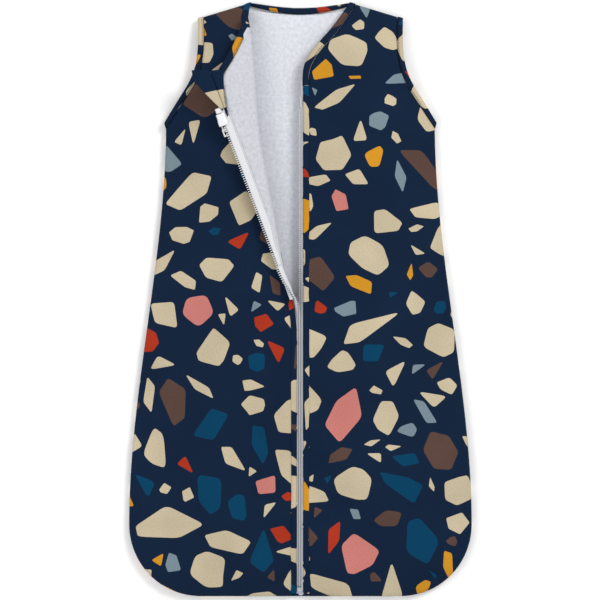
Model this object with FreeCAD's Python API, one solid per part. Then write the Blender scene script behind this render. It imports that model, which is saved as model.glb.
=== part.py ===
import FreeCAD, Part
import math
import os

from FreeCAD import Vector

# A sleeveless padded baby sleeping bag that lies on its back, with its zip open at the chest and
# the upper left front turned outwards. +X is to the right as seen from above, +Y to the neck and
# +Z up. The origin is at the middle of the plan, on the surface that the bag lies on. All in mm.

# Plan of the bag
LENGTH = 700.0
TOP_Y = LENGTH / 2
HEM_HALF = 202.0
CHEST_HALF = 158.5
CORNER_R = 85.0
SIDE_TOP_Y = 206.0
SIDE_LOW_Y = CORNER_R - TOP_Y
NECK_HALF = 58.0
SHOULDER_HALF = 121.0
SHOULDER_DROP = 19.0
BACK_NECK_DIP = 6.0
NECK_LOW = (2.5, 268.0)
NECK_BEND = (9.0, 285.0)
NECK_MIDDLE = (33.0, 314.5)
ARM_TOP = (120.5, 300.0)
ARM_BEND = (127.5, 263.0)
ARM_LOW = (141.5, 238.5)
UNDERARM = (160.5, 208.0)
SIDE_STEP = 78.0

# The layers of one panel, from its inner side out, as (name, start, end) through its thickness
PANEL = 5.0
SKIN = 0.7
LAYERS = (("lining", 0.0, SKIN), ("wadding", 0.8, 4.2), ("outer", PANEL - SKIN, PANEL))

# How far the front arches over the back
SEAM_GAP = 0.3
CROWN = 14.0
HEM_RISE_Y = -230.0
HEM_RISE = 120.0
NECK_FALL_Y = 240.0
ARMHOLE_FLARE = 0.12

# Bindings
NECK_BINDING = 8.0
ARM_BINDING = 7.0
BINDING_PROUD = 0.2
BINDING_GAP = 0.15
BINDING_LIFT = 0.3
SEAM_TACK = 4.0

# Zip: the chain's middle line, and how its parts lie to each side of it
CHAIN_X = -1.0
TAPE_BELOW = 1.1
TAPE_THICK = 0.6
TAPE_IN = 3.4
TAPE_OUT = 14.0
TAPE_TOP_Y = 258.0
TEETH_IN = 0.9
TEETH_OUT = 3.3
TOOTH_HEIGHT = 2.4
TOOTH_LENGTH = 1.35
TOOTH_PITCH = 2.65
CHAIN_LOW_Y = -337.0
CHAIN_TOP_Y = 224.0
STOP_Y = -344.0
STOP_LENGTH = 5.0
PLACKET_IN = 4.2
PLACKET_OUT = 9.5
PLACKET_LOW = 2.5
PLACKET_HIGH = 4.3
PANEL_EDGE = 9.6

# The lapel: the upper left front, which turns about a level line from the foot of the opening
FOLD_FOOT = (CHAIN_X, -35.0)
FOLD_SLANT = math.radians(10.4)
FOLD_Z = 24.5
FOLD_GAP = 0.3
LAPEL_SWING = 169.0
LAPEL_TOP = (CHAIN_X, 269.5)
LAPEL_NECK_MIDDLE = (-31.0, 291.0)
LAPEL_NECK_END_Y = 325.0
LAPEL_CLEAR = 1.0
ROLL_FROM = 60.0
ROLL_TO = 350.0
TURN_END = 60.0
TURN_RADIUS = 1.2

# Slider, which is parked at the top of the left chain
SLIDER_Y = 225.0
SLIDER_LENGTH = 14.3
NOSE_HALF = 5.2
TAIL_HALF = 4.5
CHANNEL_HALF = 1.5
SLOT_HALF = 0.6
WING = 1.2
FLANGE = 0.9
DIVIDER_HALF = 0.7
DIVIDER_LENGTH = 4.6
CAP_HALF = 1.2
CAP_LEG = 0.8
CAP_LENGTH = 5.2
CAP_INSIDE = 2.0
CAP_THICK = 0.8
PULL_PIVOT = 1.95
PULL_REACH = 14.6
PULL_HALF = 3.5
PULL_NECK_HALF = 2.6
PULL_THICK = 1.4
PULL_PIN_R = 0.6
FORK_HALF = 1.6
FORK_LENGTH = 4.6

# Box and pin at the top of the zip
BOX_Y = 233.0
BOX_LENGTH = 6.0
BOX_HALF_HEIGHT = 1.6
BOX_REACH = 3.2
BOX_WALL = 0.5
PIN_LENGTH = 12.0

# Chin guard
GUARD_HINGE = 7.0
GUARD_SKIN = 1.4
GUARD_LIFT = 8.3
GUARD_BASE_LIFT = 6.8

# The wadding's pieces meet at these lines
WADDING_SPLIT_X = 95.0
WADDING_SPLITS_Y = (-250.0, 225.0)
WADDING_GAP = 0.2

PLAN_Z = -10.0
PLAN_TALL = 80.0
FAR = 500.0


def at(point, z=PLAN_Z):
    return Vector(point[0], point[1], z)


def line(a, b):
    return Part.LineSegment(at(a), at(b)).toShape()


def curve(points):
    spline = Part.BSplineCurve()
    spline.interpolate([at(p) for p in points])
    return spline.toShape()


def tall(edges):
    """An upright block over a closed plan outline."""
    return Part.Face(Part.Wire(edges)).extrude(Vector(0, 0, PLAN_TALL))


def polygon_block(points):
    return tall([line(a, b) for a, b in zip(points, points[1:] + points[:1])])


def box(x, y, z):
    """A box from three (low, high) pairs."""
    size = [high - low for low, high in (x, y, z)]
    return Part.makeBox(*size, Vector(x[0], y[0], z[0]))


def flat_layer(low, high):
    return box((-FAR, FAR), (-FAR, FAR), (low, high))


def on_side(points, side):
    """The points on the right (1) or mirrored to the left (-1)."""
    return [(side * x, y) for x, y in points]


def inset(points, width):
    """An open curve's points moved to the right of the way they run."""
    moved = []
    for i, (x, y) in enumerate(points):
        ax, ay = points[max(i - 1, 0)]
        bx, by = points[min(i + 1, len(points) - 1)]
        run = math.hypot(bx - ax, by - ay)
        moved.append((x + width * (by - ay) / run, y - width * (bx - ax) / run))
    return moved


def between(a, b, distance):
    """The point this far from a on the way to b."""
    run = math.hypot(b[0] - a[0], b[1] - a[1])
    return (a[0] + (b[0] - a[0]) * distance / run, a[1] + (b[1] - a[1]) * distance / run)


def half_width(y):
    """Half the bag's width at y. Past the underarm it goes on, wider, for the arch's shape."""
    if y > SIDE_TOP_Y:
        return CHEST_HALF + ARMHOLE_FLARE * (y - SIDE_TOP_Y)
    part = min((SIDE_TOP_Y - y) / (SIDE_TOP_Y - SIDE_LOW_Y), 1.0)
    return CHEST_HALF + (HEM_HALF - CHEST_HALF) * part * part * (3 - 2 * part)


def shoulder_y(x):
    """Where the shoulder seam is above this x."""
    slope = SHOULDER_DROP / (SHOULDER_HALF - NECK_HALF)
    return TOP_Y - slope * max(0.0, abs(x) - NECK_HALF)


def underside(x, y):
    """The height of the front panel's inner face: an arch that falls to the seams."""
    across = 1 - (x / half_width(y)) ** 2
    to_hem = 1 - (max(0.0, HEM_RISE_Y - y) / HEM_RISE) ** 4
    to_shoulder = 1 - (max(0.0, y - NECK_FALL_Y) / (shoulder_y(x) - NECK_FALL_Y)) ** 4
    return PANEL + SEAM_GAP + CROWN * across * to_hem * to_shoulder


def on_fold(y):
    """The point of the fold line at y."""
    return (FOLD_FOOT[0] - (y - FOLD_FOOT[1]) * math.tan(FOLD_SLANT), y)


LAPEL_NECK = [LAPEL_TOP, LAPEL_NECK_MIDDLE, on_fold(LAPEL_NECK_END_Y)]
NECK_POINT = (NECK_HALF, TOP_Y)
SHOULDER_POINT = (SHOULDER_HALF, TOP_Y - SHOULDER_DROP)
NECK_SEAM = between(NECK_POINT, SHOULDER_POINT, NECK_BINDING)
ARM_SEAM = between(SHOULDER_POINT, NECK_POINT, ARM_BINDING)
SIDE_SEAM_TOP = (half_width(200.0), 200.0)
FRONT_NECK = [NECK_LOW, NECK_BEND, NECK_MIDDLE, NECK_POINT]
BACK_NECK = [(-NECK_HALF, TOP_Y), (0.0, TOP_Y - BACK_NECK_DIP), NECK_POINT]
ARMHOLE = [SHOULDER_POINT, ARM_TOP, ARM_BEND, ARM_LOW, UNDERARM]


def arched_slab(low, high):
    """A slab from low to high above the front's inner face, larger than the bag."""
    rows = []
    for step in range(19):
        y = -TOP_Y - 4 + step * (LENGTH + 8) / 18
        places = [part / 4 * 1.02 for part in range(-4, 5)]
        spots = [(place * half_width(y), y) for place in places]
        rows.append([Vector(x, y, underside(x, y) + low) for x, y in spots])
    surface = Part.BSplineSurface()
    surface.interpolate(rows)
    return surface.toShape().extrude(Vector(0, 0, high - low))


def side_edges(side):
    """From the underarm down the side seam and round the corner to the hem."""
    heights = [SIDE_SEAM_TOP[1] - step * SIDE_STEP for step in range(6)] + [SIDE_LOW_Y]
    seam = on_side([(half_width(y), y) for y in heights], side)
    turn = CORNER_R * (1 - math.sqrt(0.5))
    corner = on_side([(HEM_HALF - turn, turn - TOP_Y), (HEM_HALF - CORNER_R, -TOP_Y)], side)
    rounding = Part.Arc(at(seam[-1]), at(corner[0]), at(corner[1])).toShape()
    return [curve(seam), rounding]


def half_plan(side):
    """One half of the front, from the middle to its edge."""
    neck = on_side(FRONT_NECK, side)
    arm = on_side(ARMHOLE, side)
    top = (0.0, neck[0][1])
    low = (0.0, -TOP_Y)
    seam_top = (side * SIDE_SEAM_TOP[0], SIDE_SEAM_TOP[1])
    hem = (side * (HEM_HALF - CORNER_R), -TOP_Y)
    edges = [line(low, top), line(top, neck[0]), curve(neck), line(neck[-1], arm[0])]
    edges += [curve(arm), line(arm[-1], seam_top)]
    edges += side_edges(side) + [line(hem, low)]
    return tall(edges)


def back_plan():
    """The whole back, which is higher at the neck than the front."""
    edges = [curve(BACK_NECK)]
    for side in (1, -1):
        neck, *arm = on_side([NECK_POINT] + ARMHOLE, side)
        seam_top = (side * SIDE_SEAM_TOP[0], SIDE_SEAM_TOP[1])
        edges += [line(neck, arm[0]), curve(arm), line(arm[-1], seam_top)]
        edges += side_edges(side)
    edges.append(line((HEM_HALF - CORNER_R, -TOP_Y), (CORNER_R - HEM_HALF, -TOP_Y)))
    return tall(Part.__sortEdges__(edges))


def band(outer, inner):
    """An upright block between two open curves that run the same way."""
    edges = [curve(outer), line(outer[-1], inner[-1]), curve(inner), line(inner[0], outer[0])]
    return tall(Part.__sortEdges__(edges))


def front_neck_band(width):
    """The right neckline's band, from the zip up to the shoulder."""
    inner = inset(FRONT_NECK, width)
    inner[-1] = between(NECK_POINT, SHOULDER_POINT, width)
    return band(FRONT_NECK, inner)


def back_neck_band(width):
    seam = between(NECK_POINT, SHOULDER_POINT, width)
    inner = [(-seam[0], seam[1]), (0.0, TOP_Y - BACK_NECK_DIP - width), seam]
    return band(BACK_NECK, inner)


def left_neck_stub(width):
    """The short piece of left neckline above the fold, which doesn't turn over."""
    end = (-NECK_HALF - 3.5, TOP_Y - 21.0)
    outer = [(-NECK_HALF, TOP_Y), end]
    seam = between(NECK_POINT, SHOULDER_POINT, width)
    inner = [(-seam[0], seam[1]), (end[0] - width, end[1])]
    return band(outer, inner)


def arm_band(side, width):
    inner = inset(ARMHOLE, width)
    inner[0] = between(SHOULDER_POINT, NECK_POINT, width)
    inner[-1] = (half_width(UNDERARM[1] - width), UNDERARM[1] - width)
    return band(on_side(ARMHOLE, side), on_side(inner, side))


def fold_direction():
    return Vector(-math.sin(FOLD_SLANT), math.cos(FOLD_SLANT), 0)


def beside_fold(side, gap=FOLD_GAP):
    """Everything to the right (1) or left (-1) of the fold line, and a small gap from it."""
    along = fold_direction()
    across = Vector(along.y, -along.x, 0) * side
    start = at(FOLD_FOOT) + across * gap - along * FAR
    corners = [start, start + along * 2 * FAR, start + along * 2 * FAR + across * FAR]
    corners.append(start + across * FAR)
    return polygon_block([(p.x, p.y) for p in corners])


def opened(shape):
    """A piece of the closed lapel, turned over to where the open lapel lies."""
    turned = shape.copy()
    turned.rotate(Vector(FOLD_FOOT[0], FOLD_FOOT[1], FOLD_Z), fold_direction(), -LAPEL_SWING)
    return turned


def strip(side, near, far, low_y, high_y):
    """The upright block beside the chain's middle line, to its right (1) or left (-1)."""
    x = sorted((CHAIN_X + side * near, CHAIN_X + side * far))
    return box(x, (low_y, high_y), (PLAN_Z, PLAN_Z + PLAN_TALL))


def lapel_plan():
    """The lapel as it lies closed: the fold line, the zip's edge and the neckline."""
    start, end = LAPEL_NECK[0], LAPEL_NECK[-1]
    return tall([line(FOLD_FOOT, start), curve(LAPEL_NECK), line(end, FOLD_FOOT)])


def lapel_neck_band(width):
    return band(LAPEL_NECK, inset(LAPEL_NECK, -width))


def level(shape, low, high):
    """The part of an upright block between two depths below the fold line's height."""
    return shape.common(flat_layer(FOLD_Z - high, FOLD_Z - low))


def pieced(shape):
    """The shape cut along the lines where the wadding's pieces meet."""
    half = WADDING_GAP / 2
    tall_z = (PLAN_Z, PLAN_Z + PLAN_TALL)
    for y in WADDING_SPLITS_Y:
        shape = shape.cut(box((-FAR, FAR), (y - half, y + half), tall_z))
    for x in (-WADDING_SPLIT_X, WADDING_SPLIT_X):
        shape = shape.cut(box((x - half, x + half), (-FAR, FAR), tall_z))
    return shape


def front_layers(plan, ending):
    """The three layers of one front panel, with its wadding in pieces."""
    parts = {name + ending: arched_slab(a, b).common(plan) for name, a, b in LAYERS}
    parts["wadding" + ending] = pieced(parts["wadding" + ending])
    return parts


def back_panel():
    plan = back_plan().cut(back_neck_band(NECK_BINDING))
    for side in (1, -1):
        plan = plan.cut(arm_band(side, ARM_BINDING))
    parts = {}
    for name, start, end in LAYERS:
        parts[name + "_back"] = plan.common(flat_layer(PANEL - end, PANEL - start))
    return parts


def right_front():
    plan = half_plan(1).cut(front_neck_band(NECK_BINDING)).cut(arm_band(1, ARM_BINDING))
    plan = plan.common(strip(1, PANEL_EDGE, FAR, -FAR, FAR))
    return front_layers(plan, "_front_right")


def left_front():
    """The left front below and beside the fold."""
    plan = half_plan(-1).cut(left_neck_stub(NECK_BINDING)).cut(arm_band(-1, ARM_BINDING))
    plan = plan.common(strip(-1, PANEL_EDGE, FAR, -FAR, FAR)).common(beside_fold(-1))
    return front_layers(plan, "_front_left")


def lapel():
    plan = lapel_plan().cut(lapel_neck_band(NECK_BINDING)).common(beside_fold(1))
    plan = plan.common(strip(-1, PANEL_EDGE, FAR, -FAR, FAR))
    parts = {}
    for name, start, end in LAYERS:
        depths = (LAPEL_CLEAR + PANEL - end, LAPEL_CLEAR + PANEL - start)
        parts[name + "_lapel"] = opened(level(plan, *depths))
    return parts


def fold_roll():
    """The layers bent round the fold, as half rings about the fold line."""
    foot = Vector(FOLD_FOOT[0], FOLD_FOOT[1], FOLD_Z)
    start = foot + fold_direction() * ROLL_FROM
    length = ROLL_TO - ROLL_FROM
    parts = {}
    for name, begin, end in LAYERS:
        rod = Part.makeCylinder(LAPEL_CLEAR + PANEL - begin, length, start, fold_direction())
        core = Part.makeCylinder(LAPEL_CLEAR + PANEL - end, length, start, fold_direction())
        ring = rod.cut(core).common(beside_fold(1, gap=0.1))
        parts[name + "_fold"] = ring.cut(opened(beside_fold(1, gap=0.1)))
    return parts


def loop_tack(block, point, top):
    """A short upright piece of a binding's plan, which joins its two strands at a seam."""
    x = (point[0] - SEAM_TACK, point[0] + SEAM_TACK)
    y = (point[1] - SEAM_TACK, point[1] + SEAM_TACK)
    return block.common(box(x, y, (BINDING_LIFT, top)))


def midpoint(a, b, side):
    return (side * (a[0] + b[0]) / 2, (a[1] + b[1]) / 2)


def neck_binding():
    """The folded strip round the neckline, except on the lapel."""
    width = NECK_BINDING - BINDING_GAP
    plan = front_neck_band(width).common(strip(1, PLACKET_IN, FAR, -FAR, FAR))
    strand = arched_slab(-BINDING_PROUD, PANEL + BINDING_PROUD)
    back = back_neck_band(width)
    shape = strand.common(plan).fuse(strand.common(left_neck_stub(width)))
    shape = shape.fuse(back.common(flat_layer(BINDING_LIFT, PANEL)))
    for side in (1, -1):
        shape = shape.fuse(loop_tack(back, midpoint(NECK_POINT, NECK_SEAM, side), 2 * PANEL))
    return shape.removeSplitter()


def armhole_binding(side):
    """The folded strip round one armhole, with a front and a back strand."""
    block = arm_band(side, ARM_BINDING - BINDING_GAP)
    front = arched_slab(-BINDING_PROUD, PANEL + BINDING_PROUD).common(block)
    shape = front.fuse(block.common(flat_layer(BINDING_LIFT, PANEL)))
    for seam in ((SHOULDER_POINT, ARM_SEAM), (UNDERARM, SIDE_SEAM_TOP)):
        tack = loop_tack(block, midpoint(*seam, side), PANEL + 2.0)
        shape = shape.fuse(tack)
    return shape.removeSplitter()


def plackets():
    """The folded fabric strips that lie over the zip's edges."""
    slab = arched_slab(PLACKET_LOW, PLACKET_HIGH)
    right = strip(1, PLACKET_IN, PLACKET_OUT, -TOP_Y + 1, FAR).common(half_plan(1))
    left = strip(-1, PLACKET_IN, PLACKET_OUT, -TOP_Y + 1, FAR)
    turned = level(left.common(beside_fold(1)).common(lapel_plan()), 1.0, 2.8)
    return {
        "placket_right": slab.common(right.cut(front_neck_band(NECK_BINDING))),
        "placket_left": slab.common(left.common(beside_fold(-1))),
        "placket_lapel": opened(turned.cut(lapel_neck_band(NECK_BINDING))),
    }


def tapes():
    low = -TAPE_BELOW - TAPE_THICK / 2
    slab = arched_slab(low, low + TAPE_THICK)
    right = strip(1, TAPE_IN, TAPE_OUT, STOP_Y, TAPE_TOP_Y)
    left = strip(-1, TAPE_IN, TAPE_OUT, STOP_Y, TAPE_TOP_Y)
    depth = FOLD_Z - tape_height(0)
    upper = strip(-1, TAPE_IN, TAPE_OUT, FOLD_FOOT[1] + TURN_END, TAPE_TOP_Y)
    turned = level(upper.common(beside_fold(1)), depth - TAPE_THICK / 2, depth + TAPE_THICK / 2)
    return {
        "zip_tape_right": slab.common(right),
        "zip_tape_left": slab.common(left.common(beside_fold(-1))),
        "zip_tape_lapel": opened(turned),
    }


def tape_height(y):
    """The height of the zip's middle plane."""
    return underside(CHAIN_X, y) - TAPE_BELOW


def teeth(side, low_y, high_y):
    """One side's row of moulded teeth."""
    x = sorted((CHAIN_X + side * TEETH_IN, CHAIN_X + side * TEETH_OUT))
    offset = TOOTH_PITCH / 2 if side < 0 else 0.0
    count = int((high_y - low_y - offset) / TOOTH_PITCH)
    row = []
    for number in range(count):
        y = low_y + offset + number * TOOTH_PITCH
        z = tape_height(y)
        height = (z - TOOTH_HEIGHT / 2, z + TOOTH_HEIGHT / 2)
        row.append(box(x, (y, y + TOOTH_LENGTH), height))
    return Part.makeCompound(row)


def zip_turn():
    """The stretch of the left chain that turns over at the foot of the opening."""
    foot = Vector(CHAIN_X - 2.1, FOLD_FOOT[1] + 1, tape_height(0))
    top = Part.Vertex(CHAIN_X - 2.1, FOLD_FOOT[1] + TURN_END - 1, tape_height(0))
    end = opened(top).Point
    rising = foot + Vector(1.0, 18.0, 8.5)
    path = Part.BSplineCurve()
    path.interpolate([foot, rising, end])
    wire = Part.Wire([path.toShape()])
    tangent = path.tangent(path.FirstParameter)[0]
    section = Part.Wire([Part.makeCircle(TURN_RADIUS, foot, tangent)])
    return wire.makePipeShell([section], True, True)


def lapel_binding():
    width = NECK_BINDING - BINDING_GAP
    plan = lapel_neck_band(width).common(beside_fold(1))
    low = LAPEL_CLEAR - BINDING_PROUD
    return opened(level(plan, low, LAPEL_CLEAR + PANEL + BINDING_PROUD))


def slider_outline(shrink, overrun):
    """Plan of the slider's wings, wide at the nose, which points to the hem."""
    nose = NOSE_HALF - shrink
    tail = TAIL_HALF - shrink
    front = SLIDER_Y - SLIDER_LENGTH / 2 - overrun
    back = SLIDER_Y + SLIDER_LENGTH / 2 + overrun
    middle = SLIDER_Y - 1.5
    half = [(nose, front), (nose, middle), (tail, middle + 3.0), (tail, back)]
    right = [(CHAIN_X + x, y) for x, y in half]
    left = [(CHAIN_X - x, y) for x, y in reversed(half)]
    return polygon_block(right + left)


def slider_body():
    z = tape_height(0)
    outline = slider_outline(0.0, 0.0)
    channel = slider_outline(FLANGE, 1.0)
    hollow = channel.common(flat_layer(z - CHANNEL_HALF, z + CHANNEL_HALF))
    slots = flat_layer(z - SLOT_HALF, z + SLOT_HALF)
    shape = outline.common(flat_layer(z - CHANNEL_HALF - WING, z + CHANNEL_HALF + WING))
    front = SLIDER_Y - SLIDER_LENGTH / 2
    divider = box(
        (CHAIN_X - DIVIDER_HALF, CHAIN_X + DIVIDER_HALF),
        (front, front + DIVIDER_LENGTH),
        (z - CHANNEL_HALF - 0.2, z + CHANNEL_HALF + 0.2),
    )
    return opened(shape.cut(hollow).cut(slots).fuse(divider).removeSplitter())


def slider_cap():
    """The arch on the slider's outer face that holds the pull."""
    base = tape_height(0) + CHANNEL_HALF + WING
    front = SLIDER_Y - SLIDER_LENGTH / 2 + 0.2
    x = (CHAIN_X - CAP_HALF, CHAIN_X + CAP_HALF)
    block = box(x, (front, front + CAP_LENGTH), (base, base + CAP_INSIDE + CAP_THICK))
    window = box(
        (CHAIN_X - CAP_HALF - 1, CHAIN_X + CAP_HALF + 1),
        (front + CAP_LEG, front + CAP_LENGTH - CAP_LEG),
        (base - 1, base + CAP_INSIDE),
    )
    return opened(block.cut(window))


def zip_pull():
    """A flat tab with a fork and a pin at one end and a square hole at the other."""
    pivot_y = SLIDER_Y - SLIDER_LENGTH / 2 + PULL_PIVOT
    pivot_z = tape_height(0) + CHANNEL_HALF + WING + 1.2
    end = pivot_y - PULL_REACH
    outline = [
        (CHAIN_X - PULL_NECK_HALF, pivot_y + 0.9),
        (CHAIN_X + PULL_NECK_HALF, pivot_y + 0.9),
        (CHAIN_X + PULL_NECK_HALF, pivot_y - 4.0),
        (CHAIN_X + PULL_HALF, pivot_y - 7.0),
        (CHAIN_X + PULL_HALF, end),
        (CHAIN_X - PULL_HALF, end),
        (CHAIN_X - PULL_HALF, pivot_y - 7.0),
        (CHAIN_X - PULL_NECK_HALF, pivot_y - 4.0),
    ]
    half = PULL_THICK / 2
    plate = polygon_block(outline).common(flat_layer(pivot_z - half, pivot_z + half))
    fork_x = (CHAIN_X - FORK_HALF, CHAIN_X + FORK_HALF)
    deep = (pivot_z - 2, pivot_z + 2)
    fork = box(fork_x, (pivot_y - FORK_LENGTH, pivot_y + 2), deep)
    hole = box((CHAIN_X - 1.9, CHAIN_X + 1.9), (end + 2.0, end + 6.0), deep)
    pin_start = Vector(CHAIN_X - PULL_NECK_HALF + 0.3, pivot_y, pivot_z)
    pin_length = 2 * PULL_NECK_HALF - 0.6
    pin = Part.makeCylinder(PULL_PIN_R, pin_length, pin_start, Vector(1, 0, 0))
    return opened(plate.cut(fork).cut(hole).fuse(pin).removeSplitter())


def retainer_box():
    """The small box at the top of the left chain that the other side's pin goes into."""
    z = tape_height(0)
    x = (CHAIN_X - BOX_REACH, CHAIN_X + BOX_REACH)
    y = (BOX_Y, BOX_Y + BOX_LENGTH)
    shell = box(x, y, (z - BOX_HALF_HEIGHT, z + BOX_HALF_HEIGHT))
    inside = BOX_HALF_HEIGHT - BOX_WALL
    hollow_x = (CHAIN_X + 0.4, CHAIN_X + BOX_REACH + 1)
    hollow = box(hollow_x, (BOX_Y - 1, BOX_Y + BOX_LENGTH - 0.6), (z - inside, z + inside))
    return opened(shell.cut(hollow))


def insertion_pin():
    """The plain stem at the top of the right chain."""
    z = tape_height(0)
    x = (CHAIN_X + TEETH_IN, CHAIN_X + TEETH_OUT - 0.2)
    low = CHAIN_TOP_Y + 1.5
    return box(x, (low, low + PIN_LENGTH), (z - 0.8, z + 0.8))


def bottom_stop():
    z = tape_height(STOP_Y)
    x = (CHAIN_X - TEETH_OUT, CHAIN_X + TEETH_OUT)
    return box(x, (STOP_Y, STOP_Y + STOP_LENGTH), (z - TOOTH_HEIGHT / 2, z + TOOTH_HEIGHT / 2))


def chin_guard():
    """The printed flap on the lining side at the top of the zip, and the strip it is sewn by."""
    hinge_x = CHAIN_X - GUARD_HINGE
    near = hinge_x + 0.3
    flap = polygon_block(
        [
            (near, 238.0),
            (-5.5, 234.0),
            (1.0, 247.0),
            (8.0, 262.5),
            (15.0, 280.0),
            (12.0, 290.5),
            (near, 284.0),
        ]
    )
    base = polygon_block(
        [(hinge_x, 240.0), (hinge_x, 283.5), (-23.5, 279.0), (-14.0, 256.0)]
    )
    return {
        "chin_guard": opened(level(flap, GUARD_LIFT, GUARD_LIFT + GUARD_SKIN)),
        "chin_guard_base": opened(level(base, GUARD_BASE_LIFT, GUARD_BASE_LIFT + GUARD_SKIN)),
    }


def all_parts():
    parts = {}
    for group in (back_panel, right_front, left_front, lapel, fold_roll, plackets, tapes):
        parts.update(group())
    parts.update(chin_guard())
    parts["neck_binding"] = neck_binding()
    parts["lapel_binding"] = lapel_binding()
    parts["armhole_binding_right"] = armhole_binding(1)
    parts["armhole_binding_left"] = armhole_binding(-1)
    parts["zip_teeth_right"] = teeth(1, CHAIN_LOW_Y, CHAIN_TOP_Y)
    parts["zip_teeth_left"] = teeth(-1, CHAIN_LOW_Y, FOLD_FOOT[1])
    lapel_chain = (FOLD_FOOT[1] + TURN_END, BOX_Y - 1)
    parts["zip_teeth_lapel"] = opened(teeth(-1, *lapel_chain))
    parts["zip_turn"] = zip_turn()
    parts["slider_body"] = slider_body()
    parts["slider_cap"] = slider_cap()
    parts["zip_pull"] = zip_pull()
    parts["retainer_box"] = retainer_box()
    parts["insertion_pin"] = insertion_pin()
    parts["bottom_stop"] = bottom_stop()
    return parts


os.makedirs("parts", exist_ok=True)
for node, shape in all_parts().items():
    solids = shape.Solids
    piece = solids[0] if len(solids) == 1 else Part.makeCompound(solids)
    piece.exportStep("parts/" + node + ".step")
    spans = piece.BoundBox
    print(node, len(solids), piece.isValid(), round(piece.Volume), spans)
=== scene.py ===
import math
import random

import bmesh
import bpy
import numpy as np
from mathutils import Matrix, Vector, kdtree, noise
from mathutils.geometry import delaunay_2d_cdt


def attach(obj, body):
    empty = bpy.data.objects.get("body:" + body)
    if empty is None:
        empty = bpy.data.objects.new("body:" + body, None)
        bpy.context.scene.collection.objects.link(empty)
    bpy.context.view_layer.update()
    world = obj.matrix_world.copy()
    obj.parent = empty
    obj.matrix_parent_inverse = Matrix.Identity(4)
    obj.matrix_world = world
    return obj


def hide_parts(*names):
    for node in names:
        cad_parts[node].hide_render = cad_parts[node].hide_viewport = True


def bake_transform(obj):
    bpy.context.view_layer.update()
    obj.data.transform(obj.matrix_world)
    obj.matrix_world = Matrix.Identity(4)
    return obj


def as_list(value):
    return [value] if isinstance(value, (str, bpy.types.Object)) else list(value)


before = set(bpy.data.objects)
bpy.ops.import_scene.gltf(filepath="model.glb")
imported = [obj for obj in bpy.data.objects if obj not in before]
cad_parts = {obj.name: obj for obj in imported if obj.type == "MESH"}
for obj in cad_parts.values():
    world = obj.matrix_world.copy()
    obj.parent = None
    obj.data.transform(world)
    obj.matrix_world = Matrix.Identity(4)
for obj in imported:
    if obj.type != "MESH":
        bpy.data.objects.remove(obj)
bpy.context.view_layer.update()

# A padded baby sleeping bag that lies on its back with its upper left front folded outwards.
# Plan sizes are in mm here, in the CAD's frame, and become metres when a mesh is made.

MM = 0.001

# Plan of the bag, as in the CAD: the hem is at -TOP_Y
TOP_Y = 350.0
CHEST_HALF = 158.5
HEM_HALF = 202.0
CORNER_R = 85.0
SIDE_TOP_Y = 206.0
SIDE_LOW_Y = CORNER_R - TOP_Y
ARMHOLE_FLARE = 0.12
NECK_HALF = 58.0
SHOULDER_HALF = 121.0
SHOULDER_DROP = 19.0
FRONT_NECK = [(2.5, 268.0), (9.0, 285.0), (33.0, 314.5), (58.0, 350.0)]
BACK_NECK = [(-58.0, 350.0), (0.0, 344.0), (58.0, 350.0)]
ARMHOLE = [(121.0, 331.0), (120.5, 300.0), (127.5, 263.0), (141.5, 238.5), (160.5, 208.0)]
NECK_BAND = 8.0
ARM_BAND = 7.0

# A panel's thickness, how high the front is arched over the back, and where the arch starts to
# run out towards the hem and the shoulders
PANEL = 5.0
PANEL_GAP = 0.3
ARCH = 14.0
HEM_FALL_Y = -230.0
SHOULDER_FALL_Y = 240.0

# The height that the left front keeps beside the fold, from this far along it
RAISED_Z = 18.4
RAISED_FROM = 180
RAISED_OVER = 80
RAISED_REACH = 24.0

# The zip
CHAIN_X = -1.0
CHAIN_LOW_Y = -337.0
CHAIN_TOP_Y = 224.0
TOOTH_PITCH = 2.65
TAPE_BELOW = 1.1
RIGHT_SEAM_X = 9.2
LEFT_SEAM_X = -10.6

# The fold line of the lapel: its foot, its direction in plan and its height
FOOT = np.array((-1.0, -35.0))
FOLD_Z = 24.5
SLANT = math.radians(10.4)
ALONG = np.array((-math.sin(SLANT), math.cos(SLANT)))
ACROSS = np.array((math.cos(SLANT), math.sin(SLANT)))
TILT = math.radians(11.0)

# Colours in sRGB, out of 255
NAVY = (14, 35, 61)
LINING_TONE = (213, 216, 224)
CHIP_COLOURS = {
    "cream": (208, 193, 163),
    "mustard": (217, 152, 38),
    "pink": (211, 130, 122),
    "red": (180, 55, 30),
    "brown": (93, 70, 62),
    "teal": (0, 66, 100),
    "slate": (126, 144, 154),
}

# Chips of each size: the least and most across, the share of the cloth that is covered once they
# are down, the gap to the next chip, and how often each kind and each colour comes up
CHIP_SIZES = (
    (38, 56, 0.21, 4.2, {"pebble": 6, "shard": 4},
     {"cream": 56, "pink": 12, "brown": 9, "slate": 6, "teal": 9, "mustard": 6}),
    (22, 34, 0.315, 3.6, {"pebble": 4, "shard": 5, "wedge": 2},
     {"cream": 50, "mustard": 10, "red": 9, "brown": 9, "teal": 10, "pink": 5, "slate": 9}),
    (11, 18, 0.335, 3.0, {"pebble": 4, "shard": 4, "wedge": 2},
     {"cream": 38, "red": 14, "mustard": 12, "teal": 14, "brown": 8, "slate": 10}),
)
CHIP_TRIES = 30000
CHIP_EDGE_STEP = 3.6
CLOTH_WIDTH = 1250.0
CLOTH_HEIGHT = 1000.0
CLOTH_SEED = 7


def ease(part):
    part = np.clip(part, 0.0, 1.0)
    return part * part * (3 - 2 * part)


def linear(colour):
    """sRGB out of 255 to the linear colour that a shader takes."""
    shares = [value / 255 for value in colour]
    return tuple(s / 12.92 if s <= 0.04045 else ((s + 0.055) / 1.055) ** 2.4 for s in shares)


# ---- the bag's plan and heights ----

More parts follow.
